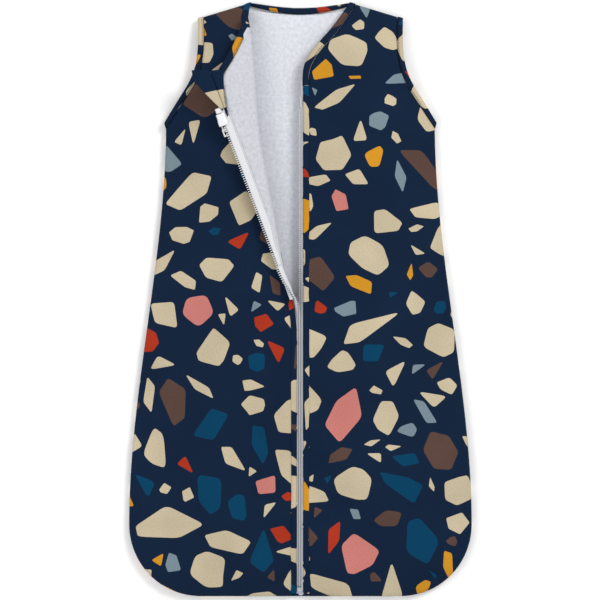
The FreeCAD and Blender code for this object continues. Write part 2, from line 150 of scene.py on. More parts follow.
def half_width(y):
    part = (SIDE_TOP_Y - y) / (SIDE_TOP_Y - SIDE_LOW_Y)
    below = CHEST_HALF + (HEM_HALF - CHEST_HALF) * ease(part)
    return np.where(y > SIDE_TOP_Y, CHEST_HALF + ARMHOLE_FLARE * (y - SIDE_TOP_Y), below)


def shoulder_y(x):
    slope = SHOULDER_DROP / (SHOULDER_HALF - NECK_HALF)
    return TOP_Y - slope * np.maximum(0.0, np.abs(x) - NECK_HALF)


def underside(x, y):
    """The height of the front's inner face."""
    across = np.maximum(1 - (x / half_width(y)) ** 2, 0)
    to_hem = 1 - (np.maximum(0.0, HEM_FALL_Y - y) / (TOP_Y + HEM_FALL_Y)) ** 4
    reach = np.maximum(0.0, y - SHOULDER_FALL_Y) / (shoulder_y(x) - SHOULDER_FALL_Y)
    return PANEL + PANEL_GAP + ARCH * across * to_hem * (1 - np.minimum(reach, 1.0) ** 4)


def fold_place(x, y):
    """How far a plan point is along the fold line and to its right."""
    dx = x - FOOT[0]
    dy = y - FOOT[1]
    return dx * ALONG[0] + dy * ALONG[1], dx * ACROSS[0] + dy * ACROSS[1]


def left_underside(x, y):
    """As underside, but held up beside the fold where the front falls away to the shoulder."""
    low = underside(x, y)
    along, right = fold_place(x, y)
    near = np.exp(-(np.minimum(right, 0.0) / RAISED_REACH) ** 2)
    near = near * ease((along - RAISED_FROM) / RAISED_OVER)
    near = near * ease((shoulder_y(x) - y) / RAISED_REACH)
    return low + np.maximum(0.0, RAISED_Z - low) * near


def to_rest(x, y, z):
    """Where a point of the closed lapel lies when the lapel is turned out."""
    along, right = fold_place(x, y)
    depth = FOLD_Z - z
    side = -right * math.cos(TILT) + depth * math.sin(TILT)
    rise = right * math.sin(TILT) + depth * math.cos(TILT)
    px = FOOT[0] + along * ALONG[0] + side * ACROSS[0]
    py = FOOT[1] + along * ALONG[1] + side * ACROSS[1]
    return np.stack([px, py, FOLD_Z + rise], axis=-1)


def as_it_lies(x, y, z):
    return np.stack([x, y, z], axis=-1)


def spline(points, step=3.0):
    """A smooth curve through the points, sampled about every step."""
    p = np.array(points, float)
    run = np.concatenate([[0], np.cumsum(np.linalg.norm(np.diff(p, axis=0), axis=1))])
    gaps = np.diff(run)
    count = len(p)
    system = np.eye(count)
    right = np.zeros_like(p)
    for i in range(1, count - 1):
        system[i, i - 1:i + 2] = gaps[i - 1], 2 * (gaps[i - 1] + gaps[i]), gaps[i]
        right[i] = 6 * ((p[i + 1] - p[i]) / gaps[i] - (p[i] - p[i - 1]) / gaps[i - 1])
    bend = np.linalg.solve(system, right)
    s = np.linspace(0, run[-1], max(int(run[-1] / step) + 1, 3))
    i = np.clip(np.searchsorted(run, s, side="right") - 1, 0, count - 2)
    a = ((run[i + 1] - s) / gaps[i])[:, None]
    b = 1 - a
    bent = (a ** 3 - a) * bend[i] + (b ** 3 - b) * bend[i + 1]
    return a * p[i] + b * p[i + 1] + bent * gaps[i][:, None] ** 2 / 6


def inset(points, width):
    """An open curve's points moved to the right of the way they run."""
    moved = []
    for i, (x, y) in enumerate(points):
        ax, ay = points[max(i - 1, 0)]
        bx, by = points[min(i + 1, len(points) - 1)]
        run = math.hypot(bx - ax, by - ay)
        moved.append((x + width * (by - ay) / run, y - width * (bx - ax) / run))
    return moved


def toward(a, b, distance):
    run = math.dist(a, b)
    return tuple(p + (q - p) * distance / run for p, q in zip(a, b))


NECK_POINT = (NECK_HALF, TOP_Y)
SHOULDER_POINT = (SHOULDER_HALF, TOP_Y - SHOULDER_DROP)
NECK_SEAM = toward(NECK_POINT, SHOULDER_POINT, NECK_BAND)
ARM_SEAM = toward(SHOULDER_POINT, NECK_POINT, ARM_BAND)


def front_neck_inner():
    inner = inset(FRONT_NECK, NECK_BAND)
    inner[-1] = NECK_SEAM
    return inner


def arm_inner():
    inner = inset(ARMHOLE, ARM_BAND)
    inner[0] = ARM_SEAM
    low = ARMHOLE[-1][1] - ARM_BAND
    inner[-1] = (float(half_width(low)), low)
    return inner


def side_curve():
    """The right side from below the armhole, down and round the corner to the hem."""
    top = ARMHOLE[-1][1] - ARM_BAND
    heights = np.linspace(top, SIDE_LOW_Y, 120)
    seam = np.stack([half_width(heights), heights], axis=1)
    turns = np.linspace(0, math.pi / 2, 36)[1:]
    corner_x = HEM_HALF - CORNER_R + CORNER_R * np.cos(turns)
    corner_y = SIDE_LOW_Y - CORNER_R * np.sin(turns)
    return np.concatenate([seam, np.stack([corner_x, corner_y], axis=1)])


def resample(points, step):
    """A polyline divided so that no run is longer than step."""
    made = [points[0]]
    for a, b in zip(points[:-1], points[1:]):
        parts = max(int(math.ceil(np.hypot(*(b - a)) / step)), 1)
        made += [a + (b - a) * k / parts for k in range(1, parts + 1)]
    return np.array(made)


def twice_area(ring):
    """Twice the area within a ring of plan points, negative if it runs clockwise."""
    x, y = ring.T
    return (x * np.roll(y, -1) - np.roll(x, -1) * y).sum()


SAME_POINT = 0.4


def closed_outline(runs, step=3.5):
    """One closed outline, without its last point again, from runs that follow each other."""
    points = np.concatenate([np.array(run, float) for run in runs])
    keep = np.ones(len(points), bool)
    keep[1:] = np.linalg.norm(np.diff(points, axis=0), axis=1) > SAME_POINT
    points = points[keep]
    if np.linalg.norm(points[0] - points[-1]) < SAME_POINT:
        points = points[:-1]
    points = resample(np.concatenate([points, points[:1]]), step)[:-1]
    return points if twice_area(points) > 0 else points[::-1]


def inside(px, py, outline):
    """Which points are within the outline."""
    x0, y0 = outline.T
    x1, y1 = np.roll(outline, -1, axis=0).T
    found = np.zeros(px.shape, bool)
    for ax, ay, bx, by in zip(x0, y0, x1, y1):
        if ay == by:
            continue
        crosses = (ay > py) != (by > py)
        found ^= crosses & (px < ax + (py - ay) * (bx - ax) / (by - ay))
    return found


def edge_distance(points, outline, chosen=None):
    """Each point's distance to the outline, or to those of its edges that are chosen."""
    a = outline
    b = np.roll(outline, -1, axis=0)
    if chosen is not None:
        a, b = a[chosen], b[chosen]
    d = b - a
    length = (d ** 2).sum(axis=1)
    best = np.empty(len(points))
    for start in range(0, len(points), 2000):
        part = points[start:start + 2000, None, :] - a[None]
        t = np.clip((part * d[None]).sum(axis=2) / length[None], 0, 1)
        off = part - t[..., None] * d[None]
        best[start:start + 2000] = np.sqrt((off ** 2).sum(axis=2).min(axis=1))
    return best


# ---- the printed chips ----

def chip_shape(rng, size, kind):
    """A cut-stone outline about the origin: a few corners, rounded a little or a lot."""
    corners = {"pebble": rng.randint(5, 7), "shard": rng.randint(4, 5), "wedge": 3}[kind]
    aspect = {"pebble": rng.uniform(1.0, 1.5), "shard": rng.uniform(1.4, 2.9),
              "wedge": rng.uniform(1.0, 1.7)}[kind]
    angles = [2 * math.pi * (i + rng.uniform(-0.36, 0.36)) / corners for i in range(corners)]
    radii = [rng.uniform(0.76, 1.16) * size / 2 for _ in angles]
    turn = rng.uniform(0, math.pi)
    ring = []
    for angle, radius in zip(angles, radii):
        x = radius * math.cos(angle) * math.sqrt(aspect)
        y = radius * math.sin(angle) / math.sqrt(aspect)
        ring.append((x * math.cos(turn) - y * math.sin(turn),
                     x * math.sin(turn) + y * math.cos(turn)))
    ring = np.array(ring)
    reach = {"pebble": rng.uniform(0.12, 0.3), "shard": 0.17, "wedge": 0.21}[kind]
    made = []
    for i, corner in enumerate(ring):
        before = corner + (ring[i - 1] - corner) * reach
        after = corner + (ring[(i + 1) % corners] - corner) * reach
        for t in np.linspace(0, 1, 5):
            made.append((1 - t) ** 2 * before + 2 * t * (1 - t) * corner + t * t * after)
    closed = np.array(made + made[:1])
    return resample(closed, CHIP_EDGE_STEP)[:-1]


def pick(rng, weights):
    return rng.choices(list(weights), list(weights.values()))[0]


def chip_field(width, height, seed):
    """Chips strewn over a piece of cloth, none touching another, as (outline, colour)."""
    rng = random.Random(seed)
    cell = 1.5
    taken = np.zeros((int(width / cell) + 1, int(height / cell) + 1), bool)
    chips = []
    covered = 0.0
    for low, high, goal, gap, kinds, colours in CHIP_SIZES:
        for _ in range(CHIP_TRIES):
            if covered > goal * width * height:
                break
            size = rng.uniform(low, high)
            place = np.array((rng.uniform(0, width), rng.uniform(0, height)))
            if taken[int(place[0] / cell), int(place[1] / cell)]:
                continue
            kind = pick(rng, kinds)
            shape = chip_shape(rng, size, kind) + place
            grown = place + (shape - place) * (1 + 2 * gap / size)
            spots = np.clip((grown / cell).astype(int), 0, np.array(taken.shape) - 1)
            if taken[spots[:, 0], spots[:, 1]].any():
                continue
            lo = np.maximum((grown.min(axis=0) / cell).astype(int), 0)
            hi = np.minimum((grown.max(axis=0) / cell).astype(int) + 2, taken.shape)
            gx, gy = np.meshgrid(np.arange(lo[0], hi[0]), np.arange(lo[1], hi[1]), indexing="ij")
            window = taken[lo[0]:hi[0], lo[1]:hi[1]]
            mask = inside(gx * cell, gy * cell, grown)
            if (window & mask).any():
                continue
            window |= mask
            covered += abs(twice_area(shape)) / 2
            chips.append((shape, pick(rng, colours)))
    return chips


CHIPS = chip_field(CLOTH_WIDTH, CLOTH_HEIGHT, CLOTH_SEED)


def chips_for(outline, offset):
    """The cloth's chips that fall within a piece cut at this offset."""
    lo = outline.min(axis=0) - 2
    hi = outline.max(axis=0) + 2
    moved = [(shape - offset, colour) for shape, colour in CHIPS]
    return [(shape, colour) for shape, colour in moved
            if (shape.max(axis=0) > lo).all() and (shape.min(axis=0) < hi).all()]


# ---- meshes ----

# How far the cloth's own points stay from a chip's edge, and which rows beside an edge are kept
CHIP_CLEAR = 1.6
ROW_FIT = 0.93


def triangulate(outline, chips, spacing, rows=()):
    """The outline's area in triangles that follow the chips' edges: points, triangles, chips."""
    points = [Vector(p) for p in outline]
    faces = [list(range(len(points)))]
    for shape, _ in chips:
        faces.append(list(range(len(points), len(points) + len(shape))))
        points += [Vector(p) for p in shape]
    after = np.roll(outline, -1, axis=0) - np.roll(outline, 1, axis=0)
    normal = np.stack([-after[:, 1], after[:, 0]], axis=1)
    normal /= np.maximum(np.linalg.norm(normal, axis=1), 1e-9)[:, None]
    loose = []
    for distance in rows:
        row = outline + normal * distance
        fit = edge_distance(row, outline) > ROW_FIT * distance
        fit &= inside(row[:, 0], row[:, 1], outline)
        loose.append(row[fit])
    lo = outline.min(axis=0)
    hi = outline.max(axis=0)
    gx, gy = np.meshgrid(np.arange(lo[0], hi[0], spacing), np.arange(lo[1], hi[1], spacing))
    gx[1::2] += spacing / 2
    grid = np.stack([gx.ravel(), gy.ravel()], axis=1)
    grid = grid[inside(grid[:, 0], grid[:, 1], outline)]
    margin = (max(rows) if rows else 0.0) + 0.5 * spacing
    grid = grid[edge_distance(grid, outline) > margin]
    loose.append(grid)
    loose = np.concatenate(loose)
    if chips:
        near = np.concatenate([shape for shape, _ in chips])
        tree = kdtree.KDTree(len(near))
        for i, p in enumerate(near):
            tree.insert((p[0], p[1], 0), i)
        tree.balance()
        loose = np.array([p for p in loose if tree.find((p[0], p[1], 0))[2] > CHIP_CLEAR])
    points += [Vector(p) for p in loose]
    made = delaunay_2d_cdt(points, [], faces, 1, 1e-5, True)
    triangles = []
    owners = []
    for face, owned in zip(made[2], made[5]):
        if 0 not in owned:
            continue
        triangles.append(face)
        inner = [k for k in owned if k > 0]
        owners.append(chips[inner[0] - 1][1] if inner else None)
    plan = np.array([tuple(p) for p in made[0]])
    triangles = np.array(triangles)
    used, triangles = np.unique(triangles, return_inverse=True)
    triangles = triangles.reshape(-1, 3)
    plan = plan[used]
    a, b, c = (plan[triangles[:, k]] for k in range(3))
    turn = (b[:, 0] - a[:, 0]) * (c[:, 1] - a[:, 1]) - (b[:, 1] - a[:, 1]) * (c[:, 0] - a[:, 0])
    triangles[turn < 0] = triangles[turn < 0][:, ::-1]
    good = np.abs(turn) > 1e-7
    return plan, triangles[good], [o for o, g in zip(owners, good) if g]


def boundary_edges(triangles):
    """The edges that only one triangle uses, each in the way it runs."""
    pairs = np.concatenate([triangles[:, [0, 1]], triangles[:, [1, 2]], triangles[:, [2, 0]]])
    ordered, uses = np.unique(np.sort(pairs, axis=1), axis=0, return_counts=True)
    single = {tuple(e) for e in ordered[uses == 1]}
    return [tuple(e) for e in pairs if tuple(sorted(e)) in single]


def chip_rgba(owner):
    return (*linear(NAVY if owner is None else CHIP_COLOURS[owner]), 1.0)


def linked(name, data):
    thing = bpy.data.objects.new(name, data)
    bpy.context.scene.collection.objects.link(thing)
    return thing


def build(name, points, faces, materials, slots=None, colours=None, flat=None, smooth=True):
    """A mesh object from points in mm. colours are per face and flat is the cloth's plan in mm."""
    mesh = bpy.data.meshes.new(name)
    faces = [list(map(int, face)) for face in faces]
    mesh.from_pydata([tuple(p) for p in np.array(points) * MM], [], faces)
    for material in materials:
        mesh.materials.append(material)
    if slots is not None:
        mesh.polygons.foreach_set("material_index", np.array(slots, np.int32))
    if colours is not None:
        sides = [len(face) for face in faces]
        layer = mesh.color_attributes.new(name="Print", type="FLOAT_COLOR", domain="CORNER")
        layer.data.foreach_set("color", np.repeat(np.array(colours), sides, axis=0).ravel())
    if flat is not None:
        layer = mesh.uv_layers.new(name="Cloth")
        layer.data.foreach_set("uv", (np.array(flat)[np.concatenate(faces)] * MM).ravel())
    if smooth:
        mesh.polygons.foreach_set("use_smooth", np.ones(len(faces), bool))
    mesh.validate()
    mesh.update()
    return linked(name, mesh)


def belongs(piece, body, slot, *nodes):
    """A piece's body (None if it is blended), its slot (not used) and the CAD nodes it stands for.
    """
    if nodes:
        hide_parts(*nodes)
    if body:
        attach(piece, body)


def ripples(points, seed, size, height):
    """Noise for each plan point, for the cloth's slight waves."""
    shift = Vector((seed * 17.3, seed * 5.1, seed * 2.7))
    values = [noise.noise(Vector((p[0] / size, p[1] / size, 0)) + shift) for p in points]
    return np.array(values) * height


# How far in from its seam a quilted panel, or the chin guard, reaches its full thickness
RIM = 3.4
FLAP_RIM = 1.2


def round_rim(plan, outline, rim, chosen=None):
    """Each point's distance to its seam, and how full the piece is there, from 0 to 1."""
    away = edge_distance(plan, outline, chosen)
    away[away < 0.02] = 0.0
    return away, np.sqrt(1 - (1 - np.minimum(away / rim, 1)) ** 2)


def two_faces(triangles, shared):
    """An upper and a lower face over one plan, and the lower point below each upper one."""
    count = len(shared)
    under = np.where(shared, np.arange(count), np.arange(count) + count)
    return [tuple(t) for t in triangles] + [tuple(under[t][::-1]) for t in triangles], under


def used_only(points, plan, faces):
    """The points, and their places in the plan, that faces use, and the faces renumbered."""
    used = np.unique(np.concatenate([np.array(f) for f in faces]))
    renumber = np.full(len(points), -1)
    renumber[used] = np.arange(len(used))
    flat = np.concatenate([plan, plan])[used]
    return points[used], flat, [tuple(renumber[list(f)]) for f in faces]


# Where front and back are sewn together: below the armholes, along the hem, and at the shoulders
SIDE_SEAM_TOP_Y = 201.0
SIDE_SEAM_X = 100.0
HEM_SEAM_Y = -340.0
SHOULDER_SEAM_LOW_Y = 260.0
SHOULDER_SEAM_REACH = 4.5


def on_side_seam(x, y):
    """Whether a rim point is where front and back are sewn together."""
    sides = (y < SIDE_SEAM_TOP_Y) & ((np.abs(x) > SIDE_SEAM_X) | (y < HEM_SEAM_Y))
    near_shoulder = shoulder_y(x) - y < SHOULDER_SEAM_REACH
    return sides | ((y > SHOULDER_SEAM_LOW_Y) & near_shoulder)


# The spacing of a quilted panel's own points, and how far in from its edge its first rows are
QUILT_SPACING = 6.5
QUILT_ROWS = (0.5, 1.5, 3.2, 6.0)
# Puckers beside the seams, each with how far in it reaches, its seed's step, its size and its
# height, and broad waves, each with its seed's step, its size and its height
PUCKERS = ((11.0, 0, 9.0, 1.15), (26.0, 3, 21.0, 0.8))
WAVES = ((7, 74.0, 0.9), (11, 33.0, 0.45))


def quilt(name, outline, chips, top, bottom, place, print_up, puff, tapered=None, seed=1,
          pinch=0.0, lining_look=None):
    """A padded panel: a printed face and a lining face that meet in its seams.

    tapered picks the outline's edges that are seams, and pinch moves the side seams up or down.
    """
    plan, triangles, owners = triangulate(outline, chips, QUILT_SPACING, rows=QUILT_ROWS)
    x, y = plan.T
    away, fullness = round_rim(plan, outline, RIM, tapered)
    high = top(x, y)
    low = bottom(x, y)
    middle = (high + low) / 2
    half = (high - low) / 2
    middle = middle + pinch * (1 - fullness) * on_side_seam(x, y)
    seam = sum(np.exp(-away / reach) * ripples(plan, seed + step, size, height)
               for reach, step, size, height in PUCKERS)
    wave = sum(ripples(plan, seed + step, size, height) for step, size, height in WAVES)
    rise, drop = puff(x, y)
    if tapered is not None:
        calm = ease((edge_distance(plan, outline, ~tapered) - 3) / 16)
        seam, wave, rise, drop = seam * calm, wave * calm, rise * calm, drop * calm
    upper = middle + fullness * (half + seam + wave + rise)
    lower = middle - fullness * (half - 0.5 * wave - drop)
    if not print_up:
        lower = np.maximum(lower, 0.0)
    points = np.concatenate([place(x, y, upper), place(x, y, lower)])
    faces, under = two_faces(triangles, fullness < 1e-6)
    rgba = [chip_rgba(o) for o in owners]
    plain_lining = (*linear(LINING_TONE), 1.0)
    centre = plan[triangles].mean(axis=1)
    turned_in = on_side_seam(*centre.T) & (away[triangles].max(axis=1) < RIM) & (pinch != 0)
    lining = [printed if t else plain_lining for t, printed in zip(turned_in, rgba)]
    inner_slots = [0 if t else 1 for t in turned_in]
    colours = rgba + lining if print_up else lining + rgba
    slots = [0] * len(owners) + inner_slots if print_up else inner_slots + [0] * len(owners)
    for a, b in boundary_edges(triangles):
        wall = [a, under[a], under[b], b]
        wall = [v for i, v in enumerate(wall) if v != wall[i - 1]]
        if len(set(wall)) > 2:
            faces.append(tuple(wall))
            colours.append(plain_lining)
            slots.append(1)
    points, flat, faces = used_only(points, plan, faces)
    thing = build(name, points, faces, (PRINT, lining_look or LINING), slots, colours, flat)
    return thing


PUFF_PITCH = 6.0
PUFF_PRESSURE = 4.0
PUFF_FRAMES = 20


def simulated(name, outline, top, bottom, cap):
    """Inflates a closed copy of a panel with Cloth, and gives back how far its faces moved."""
    pitch = PUFF_PITCH
    lo = outline.min(axis=0) - pitch
    hi = outline.max(axis=0) + pitch
    xs = np.arange(lo[0], hi[0], pitch)
    ys = np.arange(lo[1], hi[1], pitch)
    gx, gy = np.meshgrid(xs, ys, indexing="ij")
    held = inside(gx, gy, outline)
    cells = held[:-1, :-1] & held[1:, :-1] & held[:-1, 1:] & held[1:, 1:]
    uses = np.zeros(gx.shape, int)
    for di in (0, 1):
        for dj in (0, 1):
            uses[di:di + cells.shape[0], dj:dj + cells.shape[1]] += cells
    count = gx.size
    numbers = np.arange(count).reshape(gx.shape)
    rim = (uses > 0) & (uses < 4)
    below = np.where(rim, numbers, numbers + count)
    high = top(gx, gy)
    low = bottom(gx, gy)
    middle = (high + low) / 2
    upper = np.where(rim, middle, high)
    points = np.concatenate([np.stack([gx, gy, upper], -1).reshape(-1, 3),
                             np.stack([gx, gy, low], -1).reshape(-1, 3)])
    faces = []
    for i, j in zip(*np.nonzero(cells)):
        around = ((i, j), (i + 1, j), (i + 1, j + 1), (i, j + 1))
        faces.append([numbers[k] for k in around])
        faces.append([below[k] for k in reversed(around)])
    used = np.unique(np.array(faces))
    renumber = np.full(2 * count, -1)
    renumber[used] = np.arange(len(used))
    mesh = bpy.data.meshes.new(name)
    mesh.from_pydata((points[used] * MM).tolist(), [], renumber[np.array(faces)].tolist())
    thing = linked(name, mesh)
    group = thing.vertex_groups.new(name="seams")
    group.add([int(v) for v in renumber[numbers[rim]]], 1.0, "REPLACE")
    cloth = thing.modifiers.new("puff", "CLOTH")
    settings = cloth.settings
    settings.quality = 4
    settings.mass = 0.3
    settings.tension_stiffness = 15
    settings.compression_stiffness = 15
    settings.shear_stiffness = 5
    settings.bending_stiffness = 0.4
    settings.shrink_min = -0.012
    settings.use_pressure = True
    settings.uniform_pressure_force = PUFF_PRESSURE
    settings.effector_weights.gravity = 0
    settings.vertex_group_mass = "seams"
    cloth.collision_settings.use_collision = False
    cloth.point_cache.frame_start = 1
    cloth.point_cache.frame_end = PUFF_FRAMES
    for step in range(1, PUFF_FRAMES + 1):
        bpy.context.scene.frame_set(step)
    graph = bpy.context.evaluated_depsgraph_get()
    shape = thing.evaluated_get(graph).to_mesh()
    after = np.empty(len(used) * 3)
    shape.vertices.foreach_get("co", after)
    thing.evaluated_get(graph).to_mesh_clear()
    moved = np.zeros(2 * count)
    moved[used] = after.reshape(-1, 3)[:, 2] / MM - points[used, 2]
    bpy.data.objects.remove(thing)
    bpy.context.scene.frame_set(1)
    moved = cap * np.tanh(moved / cap)
    rise = moved[:count].reshape(gx.shape)
    drop = np.where(rim, rise, moved[count:].reshape(gx.shape))

    def sample(grid, x, y):
        u = np.clip((x - xs[0]) / pitch, 0, len(xs) - 1.001)
        v = np.clip((y - ys[0]) / pitch, 0, len(ys) - 1.001)
        i, j = u.astype(int), v.astype(int)
        u, v = u - i, v - j
        lower = grid[i, j] * (1 - u) + grid[i + 1, j] * u
        upper_row = grid[i, j + 1] * (1 - u) + grid[i + 1, j + 1] * u
        return lower * (1 - v) + upper_row * v

    return lambda x, y: (sample(rise, x, y), sample(drop, x, y))


# ---- materials ----

# The wave texture's scale for a fine knit, whose rows come out about 0.44 mm apart
LOOP_SCALE = 1 / 0.0014
TAPE_TONE = (214, 215, 219)


class Nodes:
    """A new material, with short ways to add and join its shader nodes."""

    def __init__(self, name):
        self.made = bpy.data.materials.new(name)
        self.made.use_nodes = True
        self.tree = self.made.node_tree
        self.tree.nodes.clear()

    def add(self, kind, **values):
        node = self.tree.nodes.new("ShaderNode" + kind)
        for key, value in values.items():
            if hasattr(node, key):
                setattr(node, key, value)
            else:
                node.inputs[key.replace("_", " ")].default_value = value
        return node

    def join(self, out, into):
        self.tree.links.new(out, into)

    def plain(self, colour):
        node = self.add("RGB")
        node.outputs[0].default_value = (*colour, 1)
        return node.outputs[0]

    def between(self, factor, low, high):
        """A value that goes from low to high with factor."""
        node = self.add("MapRange", To_Min=low, To_Max=high)
        self.join(factor, node.inputs["Value"])
        return node.outputs[0]

    def product(self, a, b):
        node = self.add("Math", operation="MULTIPLY")
        self.join(a, node.inputs[0])
        self.join(b, node.inputs[1])
        return node.outputs[0]

    def tint(self, colour, factor, low, high):
        """The colour times a grey that goes from low to high with factor."""
        grey = self.between(factor, low, high)
        mix = self.add("Mix", data_type="RGBA", blend_type="MULTIPLY")
        mix.inputs["Factor"].default_value = 1.0
        self.join(colour, mix.inputs["A"])
        self.join(grey, mix.inputs["B"])
        return mix.outputs["Result"]

    def cloth(self):
        """Cloth coordinates from the UV map, which is in metres of cloth."""
        return self.add("UVMap", uv_map="Cloth").outputs["UV"]

    def noise(self, where, scale, detail=2.0, rough=0.5):
        node = self.add("TexNoise", Scale=scale, Detail=detail, Roughness=rough)
        self.join(where, node.inputs["Vector"])
        return node.outputs["Fac"]

    def wave(self, where, scale, direction="X", warp=0.0):
        node = self.add("TexWave", bands_direction=direction, Scale=scale, Distortion=warp)
        self.join(where, node.inputs["Vector"])
        return node.outputs["Fac"]

    def bump(self, height, strength, distance, before=None):
        node = self.add("Bump", Strength=strength, Distance=distance)
        self.join(height, node.inputs["Height"])
        if before is not None:
            self.join(before, node.inputs["Normal"])
        return node.outputs["Normal"]

    def finish(self, colour, roughness, normal, sheen=0.0, coat=0.0, specular=0.5):
        shader = self.add("BsdfPrincipled")
        self.join(colour, shader.inputs["Base Color"])
        if isinstance(roughness, float):
            shader.inputs["Roughness"].default_value = roughness
        else:
            self.join(roughness, shader.inputs["Roughness"])
        self.join(normal, shader.inputs["Normal"])
        shader.inputs["Specular IOR Level"].default_value = specular
        shader.inputs["Sheen Weight"].default_value = sheen
        shader.inputs["Sheen Roughness"].default_value = 0.4
        shader.inputs["Coat Weight"].default_value = coat
        shader.inputs["Coat Roughness"].default_value = 0.2
        out = self.add("OutputMaterial")
        self.join(shader.outputs[0], out.inputs["Surface"])
        return self.made


def printed_material():
    """Fine jersey, printed with the chips that the mesh carries as a colour."""
    n = Nodes("printed_jersey_look")
    metres = n.cloth()
    colour = n.add("VertexColor", layer_name="Print").outputs["Color"]
    fleck = n.noise(metres, 1500.0, 2.0, 0.7)
    loops = n.product(n.wave(metres, LOOP_SCALE, "X", 1.2), n.wave(metres, LOOP_SCALE, "Y", 2.0))
    colour = n.tint(colour, n.noise(metres, 14.0, 2.0), 0.62, 0.98)
    colour = n.tint(colour, fleck, 0.74, 1.26)
    colour = n.tint(colour, n.noise(metres, 620.0, 3.0, 0.75), 0.66, 1.34)
    colour = n.tint(colour, loops, 0.93, 1.05)
    normal = n.bump(n.noise(metres, 260.0, 3.0), 0.25, 0.0006)
    normal = n.bump(loops, 0.35, 0.00012, normal)
    return n.finish(colour, n.between(fleck, 0.78, 0.95), normal, specular=0.1)


def lining_material(name, tone):
    """Brushed jersey with a short, clumped pile."""
    n = Nodes(name)
    metres = n.cloth()
    pile = n.noise(metres, 900.0, 4.0, 0.75)
    clump = n.noise(metres, 240.0, 3.0, 0.6)
    colour = n.tint(n.plain(linear(tone)), pile, 0.66, 1.02)
    colour = n.tint(colour, clump, 0.70, 1.18)
    colour = n.tint(colour, n.noise(metres, 18.0, 2.0), 0.95, 1.03)
    normal = n.bump(pile, 0.5, 0.0003, n.bump(clump, 0.4, 0.0006))
    return n.finish(colour, 0.95, normal, sheen=0.12, specular=0.1)


def tape_material():
    """Twill tape with a faint rib."""
    n = Nodes("zip_tape_look")
    metres = n.cloth()
    twill = n.wave(metres, 420.0, "DIAGONAL", 0.6)
    ribs = n.wave(metres, 520.0, "Y", 0.3)
    colour = n.tint(n.plain(linear(TAPE_TONE)), twill, 0.9, 1.03)
    colour = n.tint(colour, n.noise(metres, 1800.0, 2.0), 0.93, 1.05)
    normal = n.bump(ribs, 0.25, 0.0001, n.bump(twill, 0.4, 0.00015))
    return n.finish(colour, 0.8, normal, sheen=0.1, specular=0.3)


def solid_material(name, tone, rough, coat=0.0):
    """A moulded or painted surface in object space, with faint mottling and grain."""
    n = Nodes(name)
    place = n.add("TexCoord").outputs["Object"]
    fine = n.noise(place, 700.0, 3.0, 0.6)
    colour = n.tint(n.plain(linear(tone)), n.noise(place, 160.0, 3.0), 0.95, 1.05)
    colour = n.tint(colour, fine, 0.975, 1.025)
    gloss = n.between(fine, rough - 0.08, rough + 0.1)
    return n.finish(colour, gloss, n.bump(fine, 0.3, 0.00004), coat=coat)


def thread_material(name, tone):
    """Twisted sewing thread."""
    n = Nodes(name)
    ply = n.wave(n.add("TexCoord").outputs["Object"], 1400.0, "DIAGONAL", 0.4)
    colour = n.tint(n.plain(linear(tone)), ply, 0.75, 1.15)
    return n.finish(colour, 0.7, n.bump(ply, 0.5, 0.0001), sheen=0.2, specular=0.3)


PRINT = printed_material()
LINING = lining_material("lining_jersey_look", (212, 214, 221))
# The back's lining is the same jersey as the fronts' and the lapel's. It is painted lighter here
# to cancel the shade that falls on it inside the neck opening.
BACK_LINING_PAINTED_LIGHTER = lining_material("back_lining_jersey_painted_light_look", (232, 234, 242))
TAPE = tape_material()
PLASTIC = solid_material("zip_plastic_look", (214, 216, 220), 0.36)
COATING = solid_material("slider_coat_look", (222, 223, 227), 0.3, coat=0.4)
NAVY_THREAD = thread_material("navy_thread_look", (14, 24, 42))
GREY_THREAD = thread_material("grey_thread_look", (128, 136, 150))

# ---- the quilted panels ----

# How far along the fold line, and to its right, the lower panel's edge beside the fold runs
LOWER_EDGE = ((-20, -9.5), (0, -9.2), (20, -8.0), (45, -6.9), (70, -7.6),
              (110, -10.3), (160, -10.8), (215, -10.3), (275, -6.4), (330, -1.6), (372, -0.4))
LOWER_EDGE_CURVE = spline(LOWER_EDGE, 4.0)
# The chain leaves the fold line at this slope, and the turned-out lapel begins this far before it
CHAIN_SLOPE = 0.1835
CHAIN_CLEAR = 3.5


def lower_end(along):
    """How far to the right of the fold line the lower panel reaches."""
    return np.interp(along, LOWER_EDGE_CURVE[:, 0], LOWER_EDGE_CURVE[:, 1])


def lapel_end(along):
    """How far from the fold line the turned-out lapel begins."""
    chain = CHAIN_SLOPE * along - CHAIN_CLEAR
    return np.clip(np.minimum(-lower_end(along), chain), 0.4, None)


def fold_nose(along):
    """How far to the right of the fold line its visible edge is."""
    seen = -4.6 + 11.0 * ease((along - 210) / 155)
    return np.maximum(seen, np.maximum(lower_end(along), -lapel_end(along)) + 3.0)


def fold_point(along, right):
    """The plan point this far along the fold line and to its right: fold_place undone."""
    return FOOT + np.multiply.outer(along, ALONG) + np.asarray(right)[..., None] * ACROSS


# The outer and inner edges of the neck binding's end beside the zip
NECK_TAIL = [(2.3, 250.0), (2.3, 260.0), (3.4, 271.0), (9.0, 285.0)]
NECK_TAIL_INNER = [(9.9, 250.0), (9.9, 259.0), (11.0, 268.0), (15.6, 279.5)]


# What turns plan points on the right into those on the left
LEFT = (-1, 1)
LEFT_NECK_SEAM = (-NECK_SEAM[0], NECK_SEAM[1])


def front_right_outline():
    low = [(RIGHT_SEAM_X, -TOP_Y), (RIGHT_SEAM_X, 248.0)]
    neck = spline(NECK_TAIL_INNER + front_neck_inner()[2:])
    return closed_outline([low, neck, spline(arm_inner()), side_curve()])


